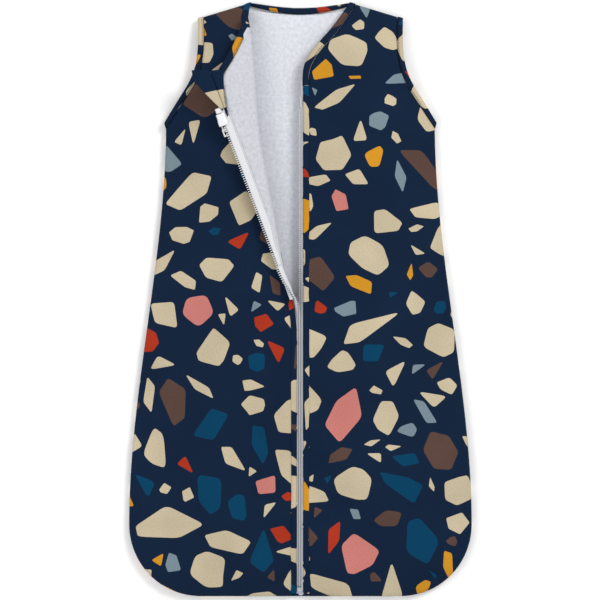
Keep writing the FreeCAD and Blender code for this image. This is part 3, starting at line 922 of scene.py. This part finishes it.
def front_left_outline():
    seam = [(LEFT_SEAM_X, -TOP_Y), (LEFT_SEAM_X, -56.0)]
    along = np.linspace(0.0, 361.0, 100)
    fold = fold_point(along, lower_end(along))
    neck = [(-NECK_HALF - 3.5 - NECK_BAND, TOP_Y - 21.0), LEFT_NECK_SEAM]
    return closed_outline([seam, fold, neck, spline(arm_inner()) * LEFT, side_curve() * LEFT])


def back_outline():
    neck = spline(inset(BACK_NECK, NECK_BAND))
    neck = neck[(neck[:, 0] > -NECK_SEAM[0]) & (neck[:, 0] < NECK_SEAM[0])]
    right = np.concatenate([spline(arm_inner()), side_curve()])
    return closed_outline([neck, [NECK_SEAM], right, right[::-1] * LEFT, [LEFT_NECK_SEAM]])


LAPEL_NECK = [(-1.0, 269.5), (-31.0, 291.0), (-67.06, 325.0)]


def lapel_outline():
    along = np.linspace(104.0, 358.0, 80)
    fold = fold_point(along, lapel_end(along))
    fold = fold[fold[:, 0] < LEFT_SEAM_X]
    neck = spline(inset(LAPEL_NECK, -NECK_BAND))
    neck = neck[(neck[:, 0] < LEFT_SEAM_X) & (neck[:, 0] > fold[-1, 0])]
    seam = [(LEFT_SEAM_X, float(neck[0, 1])), (LEFT_SEAM_X, float(fold[0, 1]) + 4)]
    return closed_outline([fold, neck[::-1], seam])


# How near to the fold's edge, and from how far along it, a panel's edge is the one beside the fold
FOLD_EDGE_NEAR = 0.35
FOLD_EDGE_START = 32


def seam_edges(outline):
    """Which of the outline's edges are seams, and not the open edge beside the fold."""
    middle = (outline + np.roll(outline, -1, axis=0)) / 2
    along, right = fold_place(middle[:, 0], middle[:, 1])
    wanted = np.where(right > 0, lapel_end(along), lower_end(along))
    return ~((np.abs(right - wanted) < FOLD_EDGE_NEAR) & (along > FOLD_EDGE_START))


def front_top(x, y):
    return underside(x, y) + PANEL


def left_top(x, y):
    return left_underside(x, y) + PANEL


def flat_at(height):
    return lambda x, y: np.zeros_like(np.asarray(x, float)) + height


def panel(name, outline, offset, top, bottom, swell, seed, place=as_it_lies, print_up=True,
          beside_fold=False, **rim):
    """A quilted panel, cut from the cloth at this offset and swollen by no more than swell."""
    puff = simulated(name + "_puff", outline, top, bottom, swell)
    tapered = seam_edges(outline) if beside_fold else None
    return quilt(name, outline, chips_for(outline, offset), top, bottom, place, print_up, puff,
                 tapered=tapered, seed=seed, **rim)


LAPEL_TOP_Z = FOLD_Z - 1.0
# The back's lining takes the copy of the lining that is painted lighter against the shade in the
# opening.
back = panel("back_quilt", back_outline(), (890.0, 420.0), flat_at(PANEL), flat_at(0.0), 1.3, 2,
             print_up=False, pinch=2.2, lining_look=BACK_LINING_PAINTED_LIGHTER)
front_right = panel("front_right_quilt", front_right_outline(), (150.0, 480.0), front_top,
                    underside, 2.2, 4, pinch=-2.6)
front_left = panel("front_left_quilt", front_left_outline(), (560.0, 395.0), left_top,
                   left_underside, 2.2, 6, beside_fold=True, pinch=-2.6)
lapel = panel("lapel_quilt", lapel_outline(), (560.0, 395.0), flat_at(LAPEL_TOP_Z),
              flat_at(LAPEL_TOP_Z - PANEL), 1.2, 9, place=to_rest, beside_fold=True)
for piece, body, part in ((back, "bag", "back"), (front_right, "bag", "front_right"),
                          (front_left, "bag", "front_left"), (lapel, "lapel", "lapel")):
    belongs(piece, body, "printed_jersey", "outer_" + part, "wadding_" + part, "lining_" + part)

# ---- bindings, plackets and the fold ----

# A binding's section: how far in from its outer edge, and up from the middle of its thickness
BAND_WIDE = 8.0
BAND_THICK = 2.55
BAND_PROFILE = spline([(0.35, -0.6), (1.0, -2.1), (3.0, -2.5), (5.6, -2.55), (7.3, -1.9),
                       (7.95, 0.0), (7.3, 1.9), (5.6, 2.55), (3.2, 2.45), (2.2, 2.2),
                       (1.5, 2.25), (0.9, 1.9), (0.35, 0.6)], 0.3)


def run_lengths(points):
    steps = np.linalg.norm(np.diff(points, axis=0), axis=1)
    return np.concatenate([[0], np.cumsum(steps)])


PROFILE_RUN = run_lengths(BAND_PROFILE)
BAND_ROUND = float(PROFILE_RUN[-1])
STITCH_LINE = float(PROFILE_RUN[np.argmin(np.abs(BAND_PROFILE - (2.0, 2.2)).sum(axis=1))])


def even(points, shares):
    """Points at these shares of a smooth curve's length."""
    curve = spline(points, 1.0)
    run = run_lengths(curve)
    return np.stack([np.interp(shares * run[-1], run, curve[:, k]) for k in (0, 1)], axis=1)


def band_strand(inner, outer, seed, middle, half, place=as_it_lies):
    """How a folded strip's cloth, in lengths along and round it, lies over a panel's edge."""
    centre = (even(inner, np.linspace(0, 1, 200)) + even(outer, np.linspace(0, 1, 200))) / 2
    length = float(run_lengths(centre)[-1])

    def lay(along, around):
        near = even(inner, along / length)
        far = even(outer, along / length)
        out = np.interp(around, PROFILE_RUN, BAND_PROFILE[:, 0])
        up = np.interp(around, PROFILE_RUN, BAND_PROFILE[:, 1])
        x, y = (near + (far - near) * (out / BAND_WIDE)[:, None]).T
        wrinkle = 1 + 0.09 * ripples(np.stack([along, around], 1), seed, 7.0, 1.0)
        return place(x, y, middle(x, y) + up * half / BAND_THICK * wrinkle)

    return length, lay


def ring_faces(rings, sides, base=0):
    """Faces of a closed tube of rings of points that follow each other, ends first to last."""
    faces = []
    for low in range(base, base + (rings - 1) * sides, sides):
        for k in range(sides):
            a, b = low + k, low + (k + 1) % sides
            faces.append((a, b, b + sides, a + sides))
    faces.append(tuple(base + k for k in reversed(range(sides))))
    faces.append(tuple(base + (rings - 1) * sides + k for k in range(sides)))
    return faces


STRAND_GAP = 30


def strip_cloth(name, strands, offset, width=BAND_ROUND, spacing=2.2):
    """One object of printed cloth strips, each a length and the way it lies."""
    points, faces, colours, flat = [], [], [], []
    shift = 0.0
    for length, lay in strands:
        box = [np.array([(0, 0), (length, 0), (length, width), (0, width)], float)]
        outline = closed_outline(box, spacing)
        chips = chips_for(outline, (offset[0] + shift, offset[1]))
        plan, triangles, owners = triangulate(outline, chips, spacing)
        start = sum(len(part) for part in points)
        points.append(lay(plan[:, 0], plan[:, 1]))
        faces += [tuple(t + start) for t in triangles]
        colours += [chip_rgba(o) for o in owners]
        flat.append(plan + (shift, 0))
        shift += length + STRAND_GAP
    thing = build(name, np.concatenate(points), faces, (PRINT,), None, colours,
                  np.concatenate(flat))
    total = sum(length for length, _ in strands)
    return thing, total


# A stitch's rings: the share of its length and of its thickness, and how deep it lies in the cloth
STITCH_RINGS = ((0, 0.35), (0.25, 1.0), (0.75, 1.0), (1, 0.35))
STITCH_SINK = 0.05


def stitch_row(name, lines, look, long=2.1, pitch=3.1, thick=0.3):
    """Sewn thread along lines of points: a short rounded bar for each stitch."""
    points, faces = [], []
    sides = 5
    for path in lines:
        run = run_lengths(path)
        for begin in np.arange(pitch / 2, run[-1] - long, pitch):
            ends = [np.array([np.interp(begin + d, run, path[:, k]) for k in range(3)])
                    for d in (0, long)]
            way = (ends[1] - ends[0]) / np.linalg.norm(ends[1] - ends[0])
            side = np.cross(way, (0, 0, 1.0))
            side /= max(np.linalg.norm(side), 1e-6)
            up = np.cross(side, way)
            base = len(points)
            for share, radius in STITCH_RINGS:
                spot = ends[0] + (ends[1] - ends[0]) * share - up * STITCH_SINK
                for k in range(sides):
                    turn = 2 * math.pi * k / sides
                    offset = side * math.cos(turn) + up * math.sin(turn) * 0.7
                    points.append(spot + offset * radius * thick)
            faces += ring_faces(len(STITCH_RINGS), sides, base)
    return build(name, points, faces, (look,))


def sewn(strands, around):
    """The stitch line of each strand, as points."""
    lines = []
    for length, lay in strands:
        along = np.arange(1.5, length - 1.5, 1.5)
        lines.append(lay(along, np.full_like(along, around)))
    return lines


BACK_MIDDLE_Z = 2.65


def front_middle(x, y):
    return underside(x, y) + PANEL / 2


def left_middle(x, y):
    return left_underside(x, y) + PANEL / 2


def back_middle(x, y):
    return BACK_MIDDLE_Z + 0 * x


def bound(name, strands, offset, body, node, thread_name, stitched, around):
    """A folded binding over its strands, and the topstitching along those that are stitched."""
    roll, length = strip_cloth(name, strands, offset)
    belongs(roll, body, "printed_jersey", node)
    thread = stitch_row(thread_name, sewn(stitched, around), NAVY_THREAD)
    belongs(thread, body, "printed_jersey")


# Half of a binding's thickness over a front panel or the lapel, and over the back
FRONT_HALF = 2.75
BACK_HALF = 2.4
neck_strands = [
    band_strand(NECK_TAIL_INNER + front_neck_inner()[2:], NECK_TAIL + FRONT_NECK[2:], 8.0,
                front_middle, FRONT_HALF),
    band_strand([LEFT_NECK_SEAM, (0.0, 336.0), NECK_SEAM], BACK_NECK, 8.0,
                back_middle, BACK_HALF),
    band_strand([LEFT_NECK_SEAM, (-69.0, 338.0), (-69.6, 328.0)],
                [(-58.0, 350.0), (-60.0, 339.0), (-61.2, 327.5)], 8.0, left_middle, FRONT_HALF),
]
bound("neck_binding_roll", neck_strands, (60.0, 930.0), "bag", "neck_binding", "neck_topstitch",
      neck_strands, STITCH_LINE)

for side, word, offset, over in ((1, "right", (520.0, 935.0), front_middle),
                                 (-1, "left", (80.0, 24.0), left_middle)):
    inner = [(side * x, y) for x, y in arm_inner()][::side]
    outer = [(side * x, y) for x, y in ARMHOLE][::side]
    strands = [band_strand(inner, outer, 7.0, over, FRONT_HALF),
               band_strand(inner, outer, 7.5, back_middle, BACK_HALF)]
    node = "armhole_binding_" + word
    bound(node + "_roll", strands, offset, "bag", node, "armhole_topstitch_" + word,
          strands[:1], STITCH_LINE)

lapel_strand = band_strand(inset(LAPEL_NECK, -NECK_BAND), LAPEL_NECK, 8.0, flat_at(FOLD_Z - 3.5),
                           FRONT_HALF, to_rest)
bound("lapel_binding_roll", [lapel_strand], (700.0, 905.0), "lapel", "lapel_binding",
      "lapel_topstitch", [lapel_strand], BAND_ROUND - STITCH_LINE)

PLACKET_CLOTH = 16.0


def placket_strand(low, high, edge_x, root_x, over, rise, place=as_it_lies):
    """A strip folded along its edge beside the zip, with both its long sides under the panel."""
    def lay(along, around):
        y = low + along
        edge = edge_x(y)
        root = root_x(y)
        across = np.abs(around - PLACKET_CLOTH / 2) / (PLACKET_CLOTH / 2)
        turn = np.clip(across / 0.16, 0, 1)
        x = edge + (root - edge) * np.clip(across - 0.05 * (1 - turn), 0, 1)
        thick = 0.85 * np.sqrt(1 - (1 - turn) ** 2)
        sign = np.sign(around - PLACKET_CLOTH / 2)
        wave = ripples(np.stack([x, y], 1), 5.5, 16.0, 0.5)
        lie = over(x, y) + rise + wave * across + sign * thick - 0.5 * across
        return place(x, y, lie)

    return high - low, lay


def level_x(value):
    return lambda y: np.zeros_like(y) + value


def left_edge_x(y):
    return np.interp(y, (-60, -35, -17, 0, 18, 30), (-3.3, -3.6, -5.2, -8.6, -14.0, -18.6))


def left_root_x(y):
    along = (y - FOOT[1]) / ALONG[1]
    beside = fold_point(along, lower_end(along))[:, 0]
    return np.where(y < -45, LEFT_SEAM_X - 1.3, np.minimum(LEFT_SEAM_X - 1.3, beside - 1.3))


def lapel_root_x(y):
    """The seam beside the zip, kept clear of the fold's visible edge at its foot."""
    beside_fold = FOOT[0] + (5.8 - (y - FOOT[1]) * ACROSS[1]) / ACROSS[0]
    return np.maximum(LEFT_SEAM_X - 1.2, beside_fold)


# Node, from and to, edge beside the chain, seam, height under it and above that, how it is
# placed, body, where its cloth is cut, and the panel it rests on
placket_cuts = (
    ("placket_right", -346.0, 251.0, level_x(2.3), level_x(RIGHT_SEAM_X + 1.2), underside, 3.5,
     as_it_lies, "bag", (300.0, 30.0), front_right),
    ("placket_left", -346.0, 24.0, left_edge_x, left_root_x, underside, 2.9,
     as_it_lies, "bag", (330.0, 60.0), front_left),
    ("placket_lapel", 34.0, 262.0, level_x(-3.4), lapel_root_x,
     flat_at(LAPEL_TOP_Z - PANEL), 3.3, to_rest, "lapel", (720.0, 60.0), lapel),
)
for node, low, high, edge_x, root_x, over, rise, place, body, offset, carrier in placket_cuts:
    strand = placket_strand(low, high, edge_x, root_x, over, rise, place)
    cloth, length = strip_cloth(node + "_fold", [strand], offset, PLACKET_CLOTH, 2.4)
    belongs(cloth, body, "printed_jersey", node)


# How far the fold's cloth stands off the panels that it laps on to, and how round its bends are
FOLD_SKIN = 0.07
BEND_ROUND = 0.55


def fold_section(along, share, outer):
    """The cloth's place round the fold: share runs from the lower panel (0) to the lapel (1).

    It is two cubic curves that meet at the fold's visible edge.
    """
    low = lower_end(along)
    turned = lapel_end(along)
    nose = fold_nose(along)
    base = fold_point(along, low)
    floor_z = left_underside(base[:, 0], base[:, 1]) - FOLD_Z
    depth = 6.0 + FOLD_SKIN if outer else 1.0 - FOLD_SKIN
    start_x = low
    start_z = floor_z + (-FOLD_SKIN if outer else PANEL + FOLD_SKIN)
    end_x = -turned * math.cos(TILT) + depth * math.sin(TILT)
    end_z = turned * math.sin(TILT) + depth * math.cos(TILT)
    if outer:
        tip_x, tip_z = nose, (start_z + end_z) / 2
    else:
        tip_x = np.minimum(np.maximum(start_x, end_x) + 1.4, nose - 1.2)
        tip_z = start_z * 0.45 + end_z * 0.55
    first = share < 0.5
    t = np.where(first, share * 2, (share - 0.5) * 2)
    k = BEND_ROUND
    ax = np.where(first, start_x, tip_x)
    az = np.where(first, start_z, tip_z)
    bx = np.where(first, start_x + (tip_x - start_x) * k, tip_x)
    bz = np.where(first, start_z, tip_z + (end_z - tip_z) * k)
    cx = np.where(first, tip_x, end_x + (tip_x - end_x) * k)
    lean = (tip_x - end_x) * k * math.tan(TILT)
    cz = np.where(first, tip_z - (tip_z - start_z) * k, end_z - lean)
    dx = np.where(first, tip_x, end_x)
    dz = np.where(first, tip_z, end_z)
    m = 1 - t
    x = m ** 3 * ax + 3 * m * m * t * bx + 3 * m * t * t * cx + t ** 3 * dx
    z = m ** 3 * az + 3 * m * m * t * bz + 3 * m * t * t * cz + t ** 3 * dz
    return x, z


# The cloth's width, how much of each side laps on to a panel, and how far it keeps from the
# height of the hinge, where it changes from one body to the other
FOLD_LAP = 3.0
FOLD_CLOTH = 26.0
HINGE_CLEAR_OUTER = 1.1
HINGE_CLEAR_INNER = 0.1


def fold_cloth(name, low, high, outer, offset, look, spacing=2.2, grow=0.0):
    """A strip that goes round the fold, from on the lower panel to on the lapel."""
    box = [np.array([(low, 0), (high, 0), (high, FOLD_CLOTH), (low, FOLD_CLOTH)], float)]
    outline = closed_outline(box, spacing)
    chips = chips_for(outline, offset) if offset else []
    plan, triangles, owners = triangulate(outline, chips, spacing)
    a, around = plan.T
    share = np.clip((around - FOLD_LAP) / (FOLD_CLOTH - 2 * FOLD_LAP), 0, 1)
    x, z = fold_section(a, share, outer)
    before = np.minimum(around - FOLD_LAP, 0)
    beyond = np.maximum(around - FOLD_CLOTH + FOLD_LAP, 0)
    spot = fold_point(a, lower_end(a) + before)
    slope = left_underside(spot[:, 0], spot[:, 1]) - FOLD_Z
    slope += -FOLD_SKIN if outer else PANEL + FOLD_SKIN
    z = np.where(before < 0, slope, z)
    x = x + before - beyond * math.cos(TILT)
    z = z + beyond * math.sin(TILT)
    if grow:
        x = x + grow * ease(1 - np.abs(share - 0.5) * 1.2)
        z = z + grow * np.where(share > 0.5, 1, -1) * ease(np.abs(share - 0.5) * 4)
    clear = HINGE_CLEAR_OUTER if outer else HINGE_CLEAR_INNER
    z = np.where(z < 0, np.minimum(z, -clear), np.maximum(z, clear))
    base = fold_point(a, x)
    points = np.stack([base[:, 0], base[:, 1], FOLD_Z + z], axis=1)
    colours = [chip_rgba(o) for o in owners]
    thing = build(name, points, [tuple(t) for t in triangles], (look,), None, colours, plan)
    sides = points[triangles]
    area = np.linalg.norm(np.cross(sides[:, 1] - sides[:, 0], sides[:, 2] - sides[:, 0]), axis=1)
    return thing, float(area.sum() / 2)


# The runs along the fold line of the fold's cloth and of the binding round its neck end
FOLD_RUN = (36.0, 359.5)
BAND_RUN = (357.5, 368.5)
for name, run, outer, offset, look, slot, nodes, finish in (
        ("fold_print_cloth", FOLD_RUN, False, (300.0, 700.0), PRINT, "printed_jersey",
         ("outer_fold", "wadding_fold"), {}),
        ("fold_lining_cloth", FOLD_RUN, True, None, LINING, "lining_jersey",
         ("lining_fold",), {}),
        ("fold_binding_cloth", BAND_RUN, True, None, PRINT, "printed_jersey",
         (), {"spacing": 1.6, "grow": 0.45})):
    cloth, area = fold_cloth(name, *run, outer, offset, look, **finish)
    length = run[1] - run[0]
    belongs(cloth, None, slot, *nodes)
    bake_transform(cloth)

# ---- the zip ----

# The stretch beside the fold over which the zip turns, half of its width, and the width that shows
TURN_LOW = -2.0
TURN_HIGH = 78.0
TURN_HALF = 6.0


def tape_height(y):
    return underside(np.zeros_like(y) + CHAIN_X, y) - TAPE_BELOW


def turned_zip(x, y, z):
    """The stretch of zip at the foot of the opening, which turns over as it rises."""
    along, right = fold_place(x, y)
    up = z - FOLD_Z
    turn = (math.pi - TILT) * ease((along - TURN_LOW) / (TURN_HIGH - TURN_LOW))
    side = right * np.cos(turn) - up * np.sin(turn)
    rise = right * np.sin(turn) + up * np.cos(turn)
    side = side - TURN_HALF * np.sin(turn)
    base = fold_point(along, side)
    return np.stack([base[:, 0], base[:, 1], FOLD_Z + rise], axis=1)


LAPEL_CHAIN_DROP = 6.3


def zip_left_z(y):
    """The left chain's height as it lies closed: the lapel's part is level."""
    level = FOLD_Z - LAPEL_CHAIN_DROP
    return tape_height(y) * (y < FOOT[1]) + level * (y >= FOOT[1])


# A tape's section: how far across it, and half thicknesses, with a bead beside the teeth
TAPE_SECTION = ((0.0, 0.0), (0.05, 0.5), (0.22, 0.5), (0.3, 0.3), (0.65, 0.3), (0.985, 0.3),
                (1.0, 0.0), (0.985, -0.3), (0.65, -0.3), (0.3, -0.3), (0.22, -0.5), (0.05, -0.5))
TAPE_STEP = 2.5


def ribbon(name, low, high, near, far, middle, place):
    """A zip tape: a thin strip with a beaded edge beside the teeth."""
    rows = int((high - low) / TAPE_STEP) + 1
    y = np.linspace(low, high, rows)
    points, flat, faces = [], [], []
    for share, lift in TAPE_SECTION:
        x = near + (far(y) - near) * share
        points.append(place(x, y, middle(y) + lift))
        flat.append(np.stack([x, y], axis=1))
    around = len(TAPE_SECTION)
    grid = np.arange(around * rows).reshape(around, rows)
    for k in range(around):
        beside = (k + 1) % around
        for j in range(rows - 1):
            faces.append((grid[k, j], grid[k, j + 1], grid[beside, j + 1], grid[beside, j]))
    faces += [tuple(grid[:, 0]), tuple(grid[::-1, -1])]
    return build(name, np.concatenate(points), faces, (TAPE,), None, None, np.concatenate(flat))


# A tooth in plan, from its root to its head, and its rings: height and size
TOOTH_PLAN = ((-0.95, -0.36), (-0.55, -0.58), (0.1, -0.58), (0.45, -0.4), (1.95, -0.4),
              (1.95, 0.4), (0.45, 0.4), (0.1, 0.58), (-0.55, 0.58), (-0.95, 0.36))
TOOTH_RINGS = ((-1.15, 0.8), (-0.85, 1.0), (0.85, 1.0), (1.15, 0.8))


def teeth_row(name, side, low, high, middle, place):
    """A row of moulded teeth whose heads reach past the chain's middle line."""
    offset = TOOTH_PITCH / 2 if side < 0 else 0.0
    first = math.ceil((low - CHAIN_LOW_Y - offset) / TOOTH_PITCH)
    ys = CHAIN_LOW_Y + offset + TOOTH_PITCH * np.arange(first, 400)
    ring = np.array(TOOTH_PLAN)
    centre = ring.mean(axis=0)
    points, faces = [], []
    sides = len(ring)
    for y in ys[ys < high]:
        for face in ring_faces(len(TOOTH_RINGS), sides, len(points)):
            faces.append(face if side > 0 else face[::-1])
        for height, size in TOOTH_RINGS:
            spots = centre + (ring - centre) * size
            z = float(middle(np.array([y]))[0]) + height
            points += list(place(CHAIN_X + side * spots[:, 0], y + spots[:, 1],
                                 np.full(sides, z)))
    return build(name, points, faces, (PLASTIC,), smooth=False)


def lapel_tape_edge(y):
    """The lapel tape's outer edge, which stays clear of the fold."""
    along = (y - FOOT[1]) / ALONG[1] - 2.0
    fold_x = FOOT[0] - (y - FOOT[1]) * math.tan(SLANT)
    return np.maximum(-12.6, fold_x + lapel_end(along) + 0.6)


TURN_LOW_Y = FOOT[1] + TURN_LOW
TURN_HIGH_Y = FOOT[1] + TURN_HIGH
TAPE_END_Y = -344.0
STITCH_DROP = 0.34
# Node, from and to, edge beside the teeth, far edge, height, how it is placed, body (None if it is
# blended), flat width and length, and the panels it rests on
zip_cuts = (
    ("zip_tape_right", TAPE_END_Y, 258.0, 0.75, level_x(13.0), tape_height, as_it_lies, "bag",
     12.25, 602.0, [front_right]),
    ("zip_tape_left", TAPE_END_Y, TURN_LOW_Y, -2.75, level_x(-15.0), tape_height, as_it_lies,
     "bag", 12.25, TURN_LOW_Y - TAPE_END_Y, [front_left]),
    ("zip_tape_lapel", TURN_HIGH_Y, 256.0, -2.75, lapel_tape_edge, zip_left_z, to_rest, "lapel",
     10.0, 213.0, [lapel]),
    ("zip_turn", TURN_LOW_Y, TURN_HIGH_Y, -2.75, level_x(-8.0), zip_left_z, turned_zip, None,
     10.0, TURN_HIGH - TURN_LOW, [front_left, lapel]),
)
tapes = {}
turning = []
for node, low, high, near, far, middle, place, body, *_ in zip_cuts:
    tapes[node] = ribbon(node + "_weave", low, high, near, far, middle, place)
    belongs(tapes[node], body, "zip_tape", node)
    if body is None:
        turning.append(tapes[node])
for name, side, low, high, middle, place, body, nodes in (
        ("zip_teeth_right_moulded", 1, CHAIN_LOW_Y, CHAIN_TOP_Y, tape_height, as_it_lies, "bag",
         ("zip_teeth_right",)),
        ("zip_teeth_left_moulded", -1, CHAIN_LOW_Y, TURN_LOW_Y, tape_height, as_it_lies, "bag",
         ("zip_teeth_left",)),
        ("zip_turn_teeth", -1, TURN_LOW_Y, TURN_HIGH_Y, zip_left_z, turned_zip, None, ()),
        ("zip_teeth_lapel_moulded", -1, TURN_HIGH_Y, 231.0, zip_left_z, to_rest, "lapel",
         ("zip_teeth_lapel",))):
    teeth = teeth_row(name, side, low, high, middle, place)
    belongs(teeth, body, "zip_plastic", *nodes)
    if body is None:
        turning.append(teeth)
y = np.arange(60.0, 254.0, 1.5)
stitched = to_rest(lapel_tape_edge(y) + 1.3, y, zip_left_z(y) - STITCH_DROP)
lapel_stitches = stitch_row("zip_tape_stitches_lapel", [stitched], GREY_THREAD, long=2.0,
                            pitch=2.7, thick=0.28)
belongs(lapel_stitches, "lapel", "zip_tape")
for node, *_, body, width, length, carriers in zip_cuts:
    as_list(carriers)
for piece in turning:
    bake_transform(piece)


def softened(node, body, look, slot, width):
    """A moulded part with its edges rounded, in the shape that the CAD gives it."""
    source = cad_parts[node]
    mesh = source.data.copy()
    mesh.name = node + "_moulded"
    shape = bmesh.new()
    shape.from_mesh(mesh)
    bmesh.ops.remove_doubles(shape, verts=shape.verts, dist=1e-6)
    bmesh.ops.dissolve_limit(shape, angle_limit=0.02, verts=shape.verts, edges=shape.edges)
    sharp = [e for e in shape.edges if len(e.link_faces) == 2 and e.calc_face_angle(0) > 0.5]
    bmesh.ops.bevel(shape, geom=sharp, offset=width * MM, offset_type="OFFSET", segments=2,
                    profile=0.6, affect="EDGES", clamp_overlap=True)
    shape.to_mesh(mesh)
    shape.free()
    mesh.materials.clear()
    mesh.materials.append(look)
    mesh.polygons.foreach_set("use_smooth", np.ones(len(mesh.polygons), bool))
    mesh.set_sharp_from_angle(angle=0.9)
    thing = linked(node + "_moulded", mesh)
    thing.matrix_world = source.matrix_world
    belongs(thing, body, slot, node)


for node, body, look, slot, width in (
    ("slider_body", "slider", COATING, "slider_coat", 0.35),
    ("slider_cap", "slider", COATING, "slider_coat", 0.25),
    ("zip_pull", "pull", COATING, "slider_coat", 0.3),
    ("retainer_box", "lapel", PLASTIC, "zip_plastic", 0.3),
    ("insertion_pin", "bag", PLASTIC, "zip_plastic", 0.3),
    ("bottom_stop", "bag", PLASTIC, "zip_plastic", 0.4),
):
    softened(node, body, look, slot, width)

# ---- the chin guard ----


def flap(name, corners, chip, low, high):
    """A small printed flap with soft edges, given by its closed plan and depths."""
    outline = closed_outline([np.array(corners + corners[:1], float)], 2.0)
    plan, triangles, owners = triangulate(outline, [(chip, "cream")], 2.2, rows=(0.4, 1.1))
    x, y = plan.T
    away, fullness = round_rim(plan, outline, FLAP_RIM)
    middle = (low + high) / 2 + ripples(plan, 3.3, 16.0, 0.5)
    half = (high - low) / 2
    points = np.concatenate([to_rest(x, y, middle + half * fullness),
                             to_rest(x, y, middle - half * fullness)])
    points, flat, faces = used_only(points, plan, two_faces(triangles, away == 0)[0])
    colours = [chip_rgba(o) for o in owners] * 2
    thing = build(name, points, faces, (PRINT,), None, colours, flat)
    return thing


# The chip that the chin guard's cloth shows, and the heights of its two flaps when closed
GUARD_BASE_Z = (FOLD_Z - 8.2, FOLD_Z - 6.8)
GUARD_Z = (FOLD_Z - 9.7, FOLD_Z - 8.3)
GUARD_CHIP = closed_outline([np.array([(-30, 236), (20, 238), (16, 262), (-14, 258), (-30, 250)],
                                      float)], 3.0)
guard_base = flap("chin_guard_base_cloth",
                  [(-8.0, 231.0), (-8.0, 283.5), (-23.5, 279.0), (-15.5, 256.0), (-11.6, 238.0),
                   (-9.6, 227.0), (-8.3, 226.0)],
                  GUARD_CHIP, *GUARD_BASE_Z)
guard = flap("chin_guard_cloth",
             [(-7.7, 238.0), (-5.5, 234.0), (1.0, 247.0), (8.0, 262.5), (15.0, 280.0),
              (12.0, 290.5), (-7.7, 284.0)],
             GUARD_CHIP, *GUARD_Z)
belongs(guard_base, "lapel", "printed_jersey", "chin_guard_base")
belongs(guard, "chin_guard", "printed_jersey", "chin_guard")


def overlock():
    """Thread looped over the raw edge of the chin guard's base."""
    edge = resample(np.array([(-9.6, 227.5), (-11.6, 238.0), (-15.5, 256.0), (-17.5, 262.0)]), 1.5)
    lines = []
    for a, b in zip(edge[:-1], edge[1:]):
        way = (b - a) / np.linalg.norm(b - a)
        out = np.array((way[1], -way[0]))
        if out[0] > 0:
            out = -out
        spots = np.array([a - out * 1.8, a + out * 1.9 + way * 0.5])
        first, last = to_rest(spots[:, 0], spots[:, 1], np.full(2, FOLD_Z - 8.25))
        lines.append(np.array([first, (first + last) / 2 + (0, 0, 0.15), last]))
    return stitch_row("chin_guard_overlock", lines, NAVY_THREAD, long=3.2, pitch=0.3, thick=0.32)


belongs(overlock(), "lapel", "printed_jersey")

# ---- floor, light and camera ----

# In metres: VIEW_WIDTH is what the picture spans at the height of the hem. The sensor is in mm.
CAMERA_HEIGHT = 2.2
VIEW_WIDTH = 0.708
HEM_HEIGHT = 0.004
SENSOR_WIDTH = 36
FLOOR_TONE = (0.93, 0.93, 0.93)


def floor():
    mesh = bpy.data.meshes.new("floor")
    reach = 6.0
    corners = [(-reach, -reach, 0), (reach, -reach, 0), (reach, reach, 0), (-reach, reach, 0)]
    mesh.from_pydata(corners, [], [(0, 1, 2, 3)])
    thing = linked("floor", mesh)
    n = Nodes("floor_look")
    soft = n.noise(n.add("TexCoord").outputs["Object"], 3.0)
    colour = n.tint(n.plain(FLOOR_TONE), soft, 0.99, 1.01)
    mesh.materials.append(n.finish(colour, 0.9, n.bump(soft, 0.02, 0.001), specular=0.1))


def light(name, place, size, power):
    """A round lamp that points at the middle of the floor."""
    lamp = bpy.data.lights.new(name, "AREA")
    lamp.shape = "DISK"
    lamp.size = size
    lamp.energy = power
    thing = linked(name, lamp)
    thing.location = place
    thing.rotation_euler = (-Vector(place)).to_track_quat("-Z", "Y").to_euler()


floor()
light("key", (1.5, 1.3, 1.9), 1.0, 36)
light("fill", (-1.8, -0.6, 1.8), 1.6, 20)
world = bpy.data.worlds.new("studio")
world.use_nodes = True
world.node_tree.nodes["Background"].inputs["Color"].default_value = (1, 1, 1, 1)
world.node_tree.nodes["Background"].inputs["Strength"].default_value = 0.72
bpy.context.scene.world = world

camera_data = bpy.data.cameras.new("camera")
camera_data.sensor_width = SENSOR_WIDTH
camera_data.lens = SENSOR_WIDTH * (CAMERA_HEIGHT - HEM_HEIGHT) / VIEW_WIDTH
camera_data.clip_end = 20
camera = linked("camera", camera_data)
camera.location = (-0.0005, -0.0007, CAMERA_HEIGHT)
bpy.context.scene.camera = camera
bpy.context.scene.view_settings.view_transform = "Standard"
